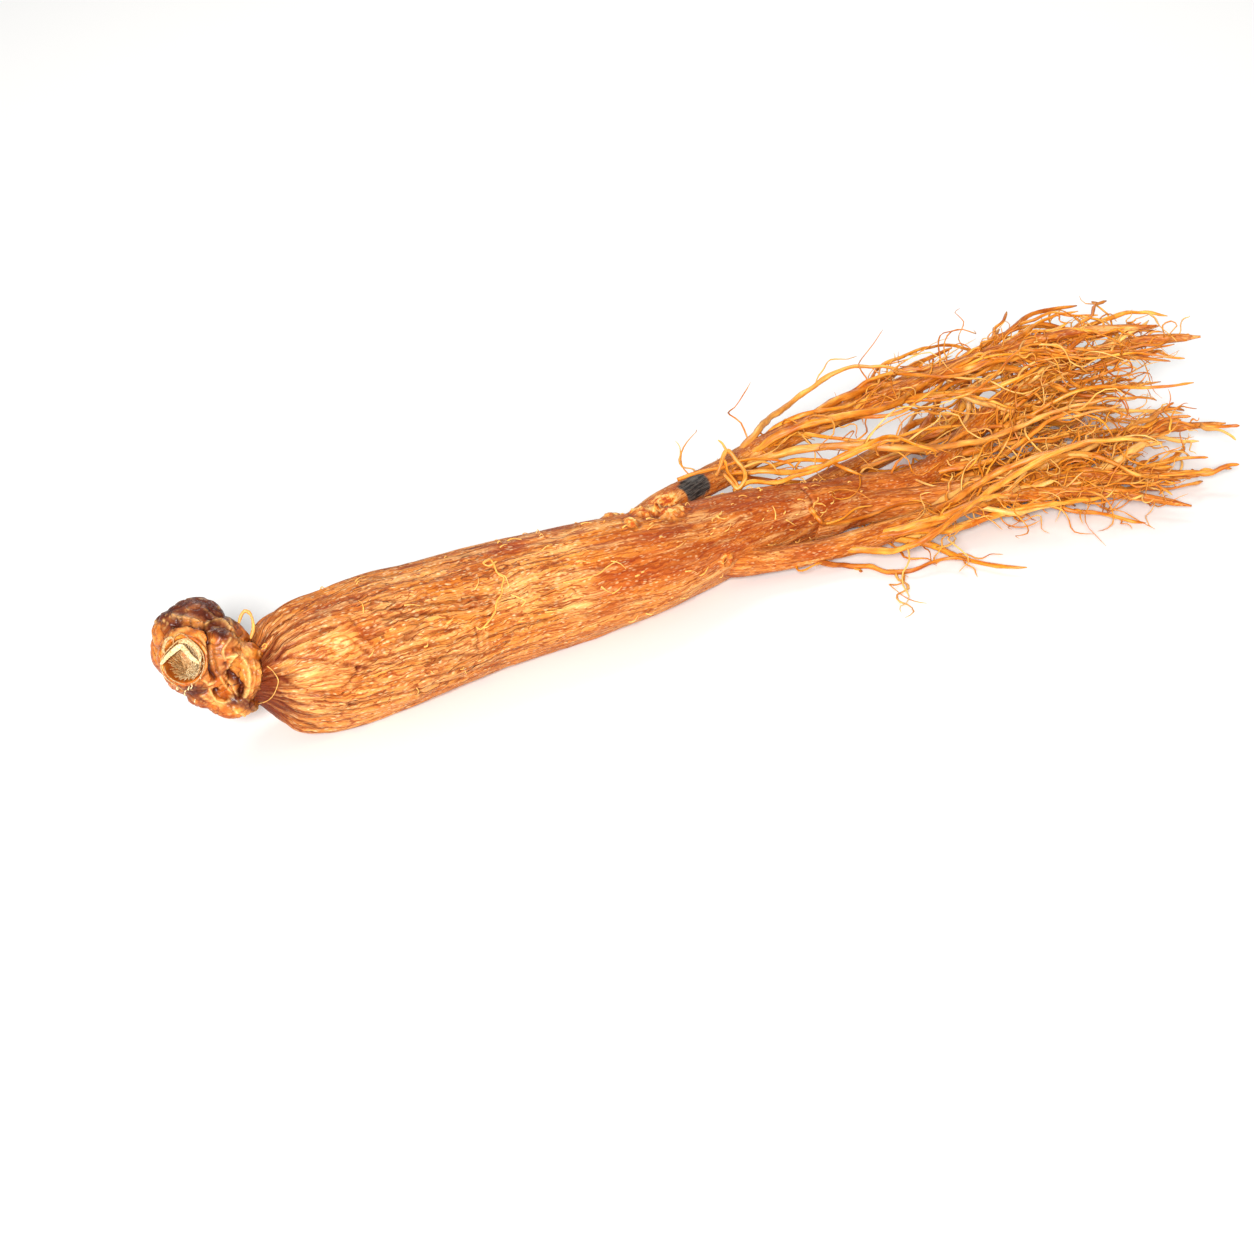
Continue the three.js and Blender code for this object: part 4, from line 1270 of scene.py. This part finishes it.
def make_skin_fibres():
    """Pale veins, stubs and short curled hairs that cling to the skin of the main root."""
    bar = round_bar(7, 23)
    draw = draws(SKIN_SEED)
    plan = []
    for spots, thick, thin in SKIN_VEINS:
        lift = NECK_LIFT if spots[0][0] < NECK_X else VEIN_LIFT
        plan.append((np.array([skin_point(x, turn, -lift) for x, turn in spots]), thick, thin))
    for _ in range(SKIN_HAIRS):
        x = -30 + 118 * draw() ** 0.8
        degrees = -125 + 230 * draw()
        heading = 0.6 * (draw() - 0.5) if draw() > 0.4 else 2.4 * (draw() - 0.5)
        reach = 0.8 + 2.6 * draw() ** 2
        curl = 2.2 * (draw() - 0.5)
        spots = []
        for k in range(5):
            turn = heading + curl * k / 4
            spots.append((x, degrees))
            x += reach / 4 * math.cos(turn)
            degrees += math.degrees(reach / 4 * math.sin(turn) / body_line(x)[2])
        lift = 0.25 + 0.5 * draw() ** 3
        route = [
            skin_point(a, b, -lift * math.sin(math.pi * min(k / 4 + 0.1, 1)))
            for k, (a, b) in enumerate(spots)
        ]
        plan.append((np.array(route), 0.08 + 0.09 * draw(), 0.05))
    plan.append((np.array(NECK_LOOP), 0.32, 0.28))
    bent, paints = [], []
    for number, (points, thick, thin) in enumerate(plan):
        length = length_of(points)

        def relief(share, angle, radius):
            return 0.5 * radius * ripple(share * length / 0.7, number, 0.5, 3)

        corners = bend_bar(bar, points, taper(thick, thin, 0.8), relief)[0]
        corners[:, 2] = np.maximum(corners[:, 2], 0.02)
        bent.append(corners)
        count = len(corners)
        paints.append(
            {
                "gold": np.full(count, 0.5 + 0.5 * draw()),
                "dark": np.zeros(count),
                "pale": np.full(count, 0.5 + 0.5 * draw()),
                "grain": corners,
            }
        )
    return many_bars("skin_fibres", bar, bent, paints)


# ---------------------------------------------------------------- materials
def add_node(tree, kind, settings=None, **inputs):
    """A node with its settings, and its inputs given as values or as other nodes' outputs."""
    node = tree.nodes.new(kind)
    for name, value in (settings or {}).items():
        if name == "stops":
            ramp = node.color_ramp.elements
            while len(ramp) < len(value):
                ramp.new(0.5)
            for stop, (place, colour) in zip(ramp, value):
                stop.position = place
                stop.color = linear(colour) if isinstance(colour, str) else [colour] * 3 + [1]
        else:
            setattr(node, name, value)
    for name, value in inputs.items():
        key = int(name[1:]) if name[0] == "i" and name[1:].isdigit() else name.replace("_", " ")
        if isinstance(value, bpy.types.NodeSocket):
            tree.links.new(value, node.inputs[key])
        else:
            node.inputs[key].default_value = value
    return node


def new_material(name):
    material = bpy.data.materials.new(name)
    material.use_nodes = True
    material.node_tree.nodes.clear()
    return material, material.node_tree


# What all the dried root's surfaces share: steamed starch lets a little warm light through.
STEAMED_STARCH = {
    "IOR": 1.5,
    "Subsurface_Radius": (1.0, 0.45, 0.2),
    "Subsurface_Scale": 0.0012,
    "Coat_Roughness": 0.25,
}


def dried_ginseng_skin(name, fineness):
    """Steamed and dried ginseng skin: tan to red-brown, finely wrinkled along the root,
    brown in its grooves with some painted shade there, and with painted highlights: pale
    glints where the wrinkles catch the light, satin."""
    material, tree = new_material(name)
    paints = {
        paint: add_node(tree, "ShaderNodeAttribute", {"attribute_name": paint}).outputs["Fac"]
        for paint in ("dark", "pale", "red", "gold", "raw", "char", "calm", "rings")
    }
    read = add_node(tree, "ShaderNodeAttribute", {"attribute_name": "grain"})
    grain = add_node(
        tree, "ShaderNodeVectorMath", {"operation": "MULTIPLY"},
        i0=read.outputs["Vector"], i1=(1.0, fineness, fineness),
    ).outputs[0]
    # The grain wavers by a quarter of a millimetre, once in about 2 mm.
    waver_map = add_node(tree, "ShaderNodeMapping", Vector=grain, Scale=(0.42, 0.7, 0.7))
    waver = add_node(
        tree, "ShaderNodeTexNoise", Vector=waver_map.outputs[0], Scale=1.0, Detail=2.0
    )
    bent = add_node(
        tree, "ShaderNodeVectorMath", {"operation": "MULTIPLY_ADD"},
        i0=waver.outputs["Color"], i1=(0.0, 0.8, 0.8), i2=grain,
    ).outputs[0]

    # Waves in the skin, by how many there are to a millimetre along and round the root:
    # long grooves of 5 to 15 mm about 1.5 mm apart and where they break off, finer lines
    # 0.7 mm apart, wrinkles 5 mm long and 0.5 mm apart, cuts that part them into cells of
    # about 1.5 mm, straight hair lines a third of a millimetre apart, and the skin's tone.
    waves = {}
    for wave, along, across, detail, roughness in [
        ("groove", 0.065, 0.7, 1.2, 0.4),
        ("broken", 0.12, 0.45, 2.0, 0.5),
        ("line", 0.13, 1.5, 0.6, 0.5),
        ("wrinkle", 0.2, 2.1, 2.0, 0.5),
        ("cut", 0.7, 1.1, 3.0, 0.6),
        ("hatch", 0.16, 3.0, 1.0, 0.5),
        ("tone", 0.08, 0.5, 5.0, 0.65),
    ]:
        placed = add_node(
            tree, "ShaderNodeMapping",
            Vector=grain if wave == "broken" else bent, Scale=(along, across, across),
        )
        waves[wave] = add_node(
            tree, "ShaderNodeTexNoise", Vector=placed.outputs[0], Scale=1.0, Detail=detail,
            Roughness=roughness,
        ).outputs["Fac"]
    # A groove or a line runs where its wave crosses its middle value.
    for wave in ("groove", "line"):
        off = add_node(
            tree, "ShaderNodeMath", {"operation": "SUBTRACT"}, i0=waves[wave], i1=0.5
        )
        waves[wave] = add_node(
            tree, "ShaderNodeMath", {"operation": "ABSOLUTE"}, i0=off.outputs[0]
        ).outputs[0]
    # Painted highlights: pale glints, 1 mm by 0.35 mm.
    cell_map = add_node(tree, "ShaderNodeMapping", Vector=bent, Scale=(0.95, 2.9, 2.9))
    cells = add_node(tree, "ShaderNodeTexVoronoi", Vector=cell_map.outputs[0], Scale=1.0)
    waves["dash"], waves["glint light"] = cells.outputs["Distance"], cells.outputs["Color"]
    # Rings round the old scars, 1.5 mm apart.
    turn = add_node(
        tree, "ShaderNodeMath", {"operation": "MULTIPLY"}, i0=paints["rings"], i1=4.2
    )
    waves["ring"] = add_node(
        tree, "ShaderNodeMath", {"operation": "SINE"}, i0=turn.outputs[0]
    ).outputs[0]

    ramps = {}
    for ramp, wave, stops in [
        ("groove", "groove", [(0.0, 1.0), (0.012, 0.8), (0.032, 0.0)]),
        ("unbroken", "broken", [(0.4, 0.1), (0.54, 1.0)]),
        ("line", "line", [(0.0, 0.9), (0.016, 0.7), (0.036, 0.0)]),
        ("wrinkle", "wrinkle", [(0.34, 0.1), (0.46, 0.7), (0.5, 0.1), (0.54, 0.7), (0.66, 1.0)]),
        ("cut", "cut", [(0.36, 0.0), (0.5, 0.75), (0.62, 1.0)]),
        ("dash", "dash", [(0.2, 1.0), (0.52, 0.0)]),
        ("glint light", "glint light", [(0.4, 0.0), (0.75, 1.0)]),
        ("ring", "ring", [(0.55, 0.0), (1.0, 0.7)]),
        ("tan", "tone", [(0.34, "#cd7420"), (0.5, "#de8b34"), (0.66, "#f2ad60")]),
        ("red", "tone", [(0.34, "#a0400e"), (0.5, "#b6591a"), (0.66, "#d07a32")]),
        ("gold", "tone", [(0.34, "#b0560a"), (0.5, "#cc781c"), (0.66, "#e49c42")]),
        ("hatch shade", "hatch", [(0.4, "#b0602a"), (0.47, "#ffffff")]),
        ("flesh", "cut", [(0.4, "#b8460a"), (0.5, "#ec8f30"), (0.6, "#ffc978")]),
        ("soot", "hatch", [(0.4, "#1f1d1d"), (0.62, "#57514b")]),
    ]:
        ramps[ramp] = add_node(
            tree, "ShaderNodeValToRGB", {"stops": stops}, Fac=waves[wave]
        ).outputs[0]
    # These two tint by the ramps of their own waves, darkening the wrinkles' and cuts' troughs:
    # partly the skin's own brown there, partly painted shade.
    for ramp, below, stops in [
        ("wrinkle shade", "wrinkle", [(0.0, "#a8541c"), (0.5, "#e6b07c"), (1.0, "#ffffff")]),
        ("cut shade", "cut", [(0.0, "#b8682e"), (0.7, "#ffffff")]),
    ]:
        ramps[ramp] = add_node(
            tree, "ShaderNodeValToRGB", {"stops": stops}, Fac=ramps[below]
        ).outputs[0]

    # How much of each pattern shows: less of the coarse ones on the smoother tail and inside
    # old scars, where the skin is calm.
    parts = {}
    for part, by_calm, most in [("busy", -0.7, 1.0), ("dashed", -0.32, 0.68)]:
        parts[part] = add_node(
            tree, "ShaderNodeMath", {"operation": "MULTIPLY_ADD"},
            i0=paints["calm"], i1=by_calm, i2=most,
        ).outputs[0]
    ring_end = add_node(
        tree, "ShaderNodeMapRange", i0=paints["rings"], i1=2.0, i2=2.8, i3=1.0, i4=0.0
    )
    for part, one, other in [
        ("groove", ramps["groove"], ramps["unbroken"]),
        ("dash", ramps["dash"], ramps["glint light"]),
        ("ring", ramps["ring"], ring_end.outputs[0]),
        ("wrinkled", parts["busy"], 0.28),
        ("cut", parts["busy"], 0.22),
        ("grooved", parts["busy"], 0.7),
        ("groove bump", parts["busy"], 0.75),
        ("wrinkle bump", parts["busy"], 0.6),
        ("cut bump", parts["busy"], 0.45),
    ]:
        parts[part] = add_node(
            tree, "ShaderNodeMath", {"operation": "MULTIPLY"}, i0=one, i1=other
        ).outputs[0]
    for part, one, other in [("dashed", "dash", "dashed"), ("grooved", "groove", "grooved")]:
        parts[part] = add_node(
            tree, "ShaderNodeMath", {"operation": "MULTIPLY"}, i0=parts[one], i1=parts[other]
        ).outputs[0]

    # The colours, each over the one before.
    colour = ramps["tan"]
    for blend, part, over in [
        ("MIX", paints["red"], ramps["red"]),
        ("MIX", paints["gold"], ramps["gold"]),
        ("MIX", paints["pale"], linear("#fac67c")),
        # painted shade, with the skin's own brown, in the wrinkles' and cuts' troughs
        ("MULTIPLY", parts["wrinkled"], ramps["wrinkle shade"]),
        ("MULTIPLY", parts["cut"], ramps["cut shade"]),
        ("MULTIPLY", 0.55, ramps["hatch shade"]),
        ("MIX", parts["ring"], linear("#b25d17")),
        # painted highlights: the pale glints
        ("MIX", parts["dashed"], linear("#fed79e")),
        ("MIX", ramps["line"], linear("#96400a")),
        ("MIX", parts["grooved"], linear("#7d3005")),
        # dark marks, and on the main root painted shade in its grooves and low on its sides
        ("MIX", paints["dark"], linear("#6b2603")),
        ("MIX", paints["raw"], ramps["flesh"]),
        ("MIX", paints["char"], ramps["soot"]),
    ]:
        colour = add_node(
            tree, "ShaderNodeMix", {"data_type": "RGBA", "blend_type": blend},
            i0=part, i6=colour, i7=over,
        ).outputs[2]
    bump = add_node(
        tree, "ShaderNodeBump", {"invert": True},
        Height=parts["groove"], Strength=parts["groove bump"], Distance=0.0003,
    )
    for height, strength, distance in [
        (ramps["wrinkle"], parts["wrinkle bump"], 0.0002),
        (ramps["cut"], parts["cut bump"], 0.00012),
        (parts["dash"], parts["wrinkle bump"], 0.0001),
        (waves["hatch"], 0.35, 0.0002),
    ]:
        bump = add_node(
            tree, "ShaderNodeBump", Height=height, Strength=strength, Distance=distance,
            Normal=bump.outputs[0],
        )
    rough = add_node(tree, "ShaderNodeMapRange", i0=parts["dash"], i3=0.55, i4=0.34)
    shader = add_node(
        tree, "ShaderNodeBsdfPrincipled", Base_Color=colour, Roughness=rough.outputs[0],
        Normal=bump.outputs[0], Subsurface_Weight=0.04, Coat_Weight=0.03,
        Specular_IOR_Level=0.2, **STEAMED_STARCH,
    )
    add_node(tree, "ShaderNodeOutputMaterial", Surface=shader.outputs[0])
    return material


def dried_thin_root_skin(name, fibre_width):
    """Dried thin root: golden to red-brown, fibrous along its length, satin."""
    material, tree = new_material(name)
    gold, pale, dark = (
        add_node(tree, "ShaderNodeAttribute", {"attribute_name": paint}).outputs["Fac"]
        for paint in ("gold", "pale", "dark")
    )
    grain = add_node(tree, "ShaderNodeAttribute", {"attribute_name": "grain"}).outputs["Vector"]
    # The tone changes every 6 mm along and 1.7 mm round; the fibres are as wide as given.
    wide = 1 / fibre_width
    tone, fibres = (
        add_node(
            tree, "ShaderNodeTexNoise", Scale=1.0, Detail=detail,
            Vector=add_node(
                tree, "ShaderNodeMapping", Vector=grain, Scale=(along, across, across)
            ).outputs[0],
        ).outputs["Fac"]
        for along, across, detail in [(0.16, 0.6, 4.0), (0.07 * wide, wide, 2.0)]
    )
    brown, golden, shade = (
        add_node(tree, "ShaderNodeValToRGB", {"stops": stops}, Fac=wave).outputs[0]
        for wave, stops in [
            (tone, [(0.34, "#9a4306"), (0.5, "#c0640f"), (0.68, "#e28a28")]),
            (tone, [(0.34, "#cb6c08"), (0.5, "#e8901c"), (0.68, "#f8b548")]),
            (fibres, [(0.36, "#c98a58"), (0.46, "#ffffff"), (0.5, "#8a4312"), (0.54, "#ffffff")]),
        ]
    )
    paler = add_node(
        tree, "ShaderNodeMath", {"operation": "MULTIPLY"}, i0=pale, i1=0.7
    ).outputs[0]
    colour = brown
    for blend, part, over in [
        ("MIX", gold, golden),
        ("MULTIPLY", 0.45, shade),
        ("MIX", paler, linear("#fcc870")),
        ("MIX", dark, linear("#7e3407")),
    ]:
        colour = add_node(
            tree, "ShaderNodeMix", {"data_type": "RGBA", "blend_type": blend},
            i0=part, i6=colour, i7=over,
        ).outputs[2]
    bump = add_node(tree, "ShaderNodeBump", Height=fibres, Strength=0.8, Distance=0.0003)
    shader = add_node(
        tree, "ShaderNodeBsdfPrincipled", Base_Color=colour, Roughness=0.42,
        Normal=bump.outputs[0], Subsurface_Weight=0.08, Coat_Weight=0.06,
        Specular_IOR_Level=0.3, **STEAMED_STARCH,
    )
    add_node(tree, "ShaderNodeOutputMaterial", Surface=shader.outputs[0])
    return material


def waxy_head_skin():
    """Dried rhizome skin: thin and waxy, amber where it is torn open, maroon and papery
    where the old bud scales cling."""
    material, tree = new_material("waxy_rhizome_skin")
    place = add_node(tree, "ShaderNodeTexCoord").outputs["Object"]
    # The tone changes every 2 mm, and the crumbs are two thirds of a millimetre wide.
    tone, crumbs = (
        add_node(
            tree, "ShaderNodeTexNoise", Vector=place, Scale=scale, Detail=detail
        ).outputs["Fac"]
        for scale, detail in [(480.0, 4.0), (1500.0, 2.0)]
    )
    brown, amber, maroon = (
        add_node(
            tree, "ShaderNodeValToRGB", {"stops": list(zip((0.3, 0.5, 0.72), tones))}, Fac=tone
        ).outputs[0]
        for tones in [
            ("#843506", "#b65a12", "#dc8834"),
            ("#a04402", "#c9680d", "#e89a35"),
            ("#360e02", "#62250b", "#a05a2c"),
        ]
    )
    colour = brown
    # The pale and dark paints also carry painted highlights and painted shade.
    for paint, over in [
        ("amber", amber), ("maroon", maroon), ("pale", linear("#fcc476")),
        ("dark", linear("#4a1805")),
    ]:
        part = add_node(tree, "ShaderNodeAttribute", {"attribute_name": paint}).outputs["Fac"]
        colour = add_node(
            tree, "ShaderNodeMix", {"data_type": "RGBA"}, i0=part, i6=colour, i7=over
        ).outputs[2]
    bump = add_node(tree, "ShaderNodeBump", Height=crumbs, Strength=0.5, Distance=0.0002)
    shader = add_node(
        tree, "ShaderNodeBsdfPrincipled", Base_Color=colour, Roughness=0.4,
        Normal=bump.outputs[0], Subsurface_Weight=0.15, Coat_Weight=0.08,
        Specular_IOR_Level=0.3, **STEAMED_STARCH,
    )
    add_node(tree, "ShaderNodeOutputMaterial", Surface=shader.outputs[0])
    return material


def dry_stem_fibre():
    """Dry fibre of the old stem: cream to grey-brown, matt, with threads a tenth of a
    millimetre wide, drawn three times as wide to show."""
    material, tree = new_material("dry_stem_fibre")
    place = add_node(tree, "ShaderNodeTexCoord").outputs["Object"]
    threads = add_node(
        tree, "ShaderNodeTexNoise", Vector=place, Scale=3500.0, Detail=2.0
    ).outputs["Fac"]
    cream, grey = (
        add_node(
            tree, "ShaderNodeValToRGB", {"stops": list(zip((0.3, 0.6), tones))}, Fac=threads
        ).outputs[0]
        for tones in [("#b8935a", "#ead2a2"), ("#7a4416", "#b27634")]
    )
    part = add_node(tree, "ShaderNodeAttribute", {"attribute_name": "cream"}).outputs["Fac"]
    colour = add_node(tree, "ShaderNodeMix", {"data_type": "RGBA"}, i0=part, i6=grey, i7=cream)
    bump = add_node(tree, "ShaderNodeBump", Height=threads, Strength=0.5, Distance=0.0001)
    shader = add_node(
        tree, "ShaderNodeBsdfPrincipled", Base_Color=colour.outputs[2], Roughness=0.7,
        Normal=bump.outputs[0], Subsurface_Weight=0.1, Coat_Weight=0.0,
        Specular_IOR_Level=0.3, **STEAMED_STARCH,
    )
    add_node(tree, "ShaderNodeOutputMaterial", Surface=shader.outputs[0])
    return material


def pale_floor():
    """White paper under the root: matt and even."""
    material, tree = new_material("matt_white_paper")
    shader = add_node(
        tree, "ShaderNodeBsdfPrincipled", Base_Color=linear("#f4f3f1"), Roughness=0.9,
        Specular_IOR_Level=0.1,
    )
    add_node(tree, "ShaderNodeOutputMaterial", Surface=shader.outputs[0])
    return material


# ---------------------------------------------------------------- the root
make_camera()
main_root = make_main_root()
branch_roots = make_branch_roots()
solid_rootlets = rootlet_plan()
all_rootlets = solid_rootlets + extra_rootlets(
    solid_rootlets, MORE_ROOTLETS, MORE_ROOTLETS_SEED
)
strands = [(np.array(points), thick, thin) for points, thick, thin in STRANDS]
branches_as_parents = [(np.array(b["route"]), 1, 1) for b in BRANCH_ROOTS.values()]
hair_parents = all_rootlets + branches_as_parents * 5
hairs = solid_hair_plan(solid_rootlets) + fine_hairs(hair_parents, FINE_HAIRS, FINE_HAIRS_SEED)
rootlets = make_thin_roots(
    "rootlets", all_rootlets + strands, sides=8, cuts=(7, 6), seed=11, lumpy=0.4, hold=0.6
)
root_hairs = make_thin_roots(
    "root_hairs", hairs, sides=4, cuts=(13,), seed=13, lumpy=0.6, hold=0.8
)
head = make_head()
scar_rim, scar_fibres = make_stem_scar()
skin_fibres = make_skin_fibres()

skin = dried_ginseng_skin("dried_ginseng_skin", 1.0)
branch_skin = dried_ginseng_skin("dried_branch_root_skin", 1.3)
thin_skin = dried_thin_root_skin("dried_rootlet_skin", 0.45)
head_skin = waxy_head_skin()
fibre = dry_stem_fibre()
for piece, material, slot in [
    (main_root, skin, "root_skin"),
    (branch_roots, branch_skin, "rootlet_skin"),
    (rootlets, thin_skin, "rootlet_skin"),
    (root_hairs, thin_skin, "rootlet_skin"),
    (head, head_skin, "head_skin"),
    (scar_rim, fibre, "scar_fibre"),
    (scar_fibres, fibre, "scar_fibre"),
    (skin_fibres, thin_skin, "rootlet_skin"),
]:
    piece.data.materials.clear()
    piece.data.materials.append(material)
    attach(piece, "root")
    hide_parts("ginseng_root")

# ---------------------------------------------------------------- floor and light
clear_selection()
bpy.ops.mesh.primitive_plane_add(size=8, location=(0, 0, -0.00003))
floor = bpy.context.object
floor.name = "floor"
floor.data.materials.append(pale_floor())

SKY_STRENGTH = 0.42
scene = bpy.context.scene
scene.view_settings.view_transform = "Standard"
scene.view_settings.look = "None"
world = bpy.data.worlds.new("studio")
scene.world = world
world.use_nodes = True
sky = world.node_tree.nodes["Background"].inputs
sky["Color"].default_value = (1, 1, 1, 1)
sky["Strength"].default_value = SKY_STRENGTH


def soft_light(name, place, size, power):
    light = bpy.data.lights.new(name, "AREA")
    light.shape = "DISK"
    light.size = size
    light.energy = power
    holder = bpy.data.objects.new(name, light)
    bpy.context.collection.objects.link(holder)
    holder.location = place
    aim = VIEW_TARGET * MM - Vector(place)
    holder.rotation_euler = aim.to_track_quat("-Z", "Y").to_euler()


# Places and sizes in metres, power in watts.
soft_light("key", place=(-0.55, -0.75, 0.5), size=0.25, power=18.0)
soft_light("back_light", place=(0.3, 0.4, 0.5), size=0.3, power=1.5)
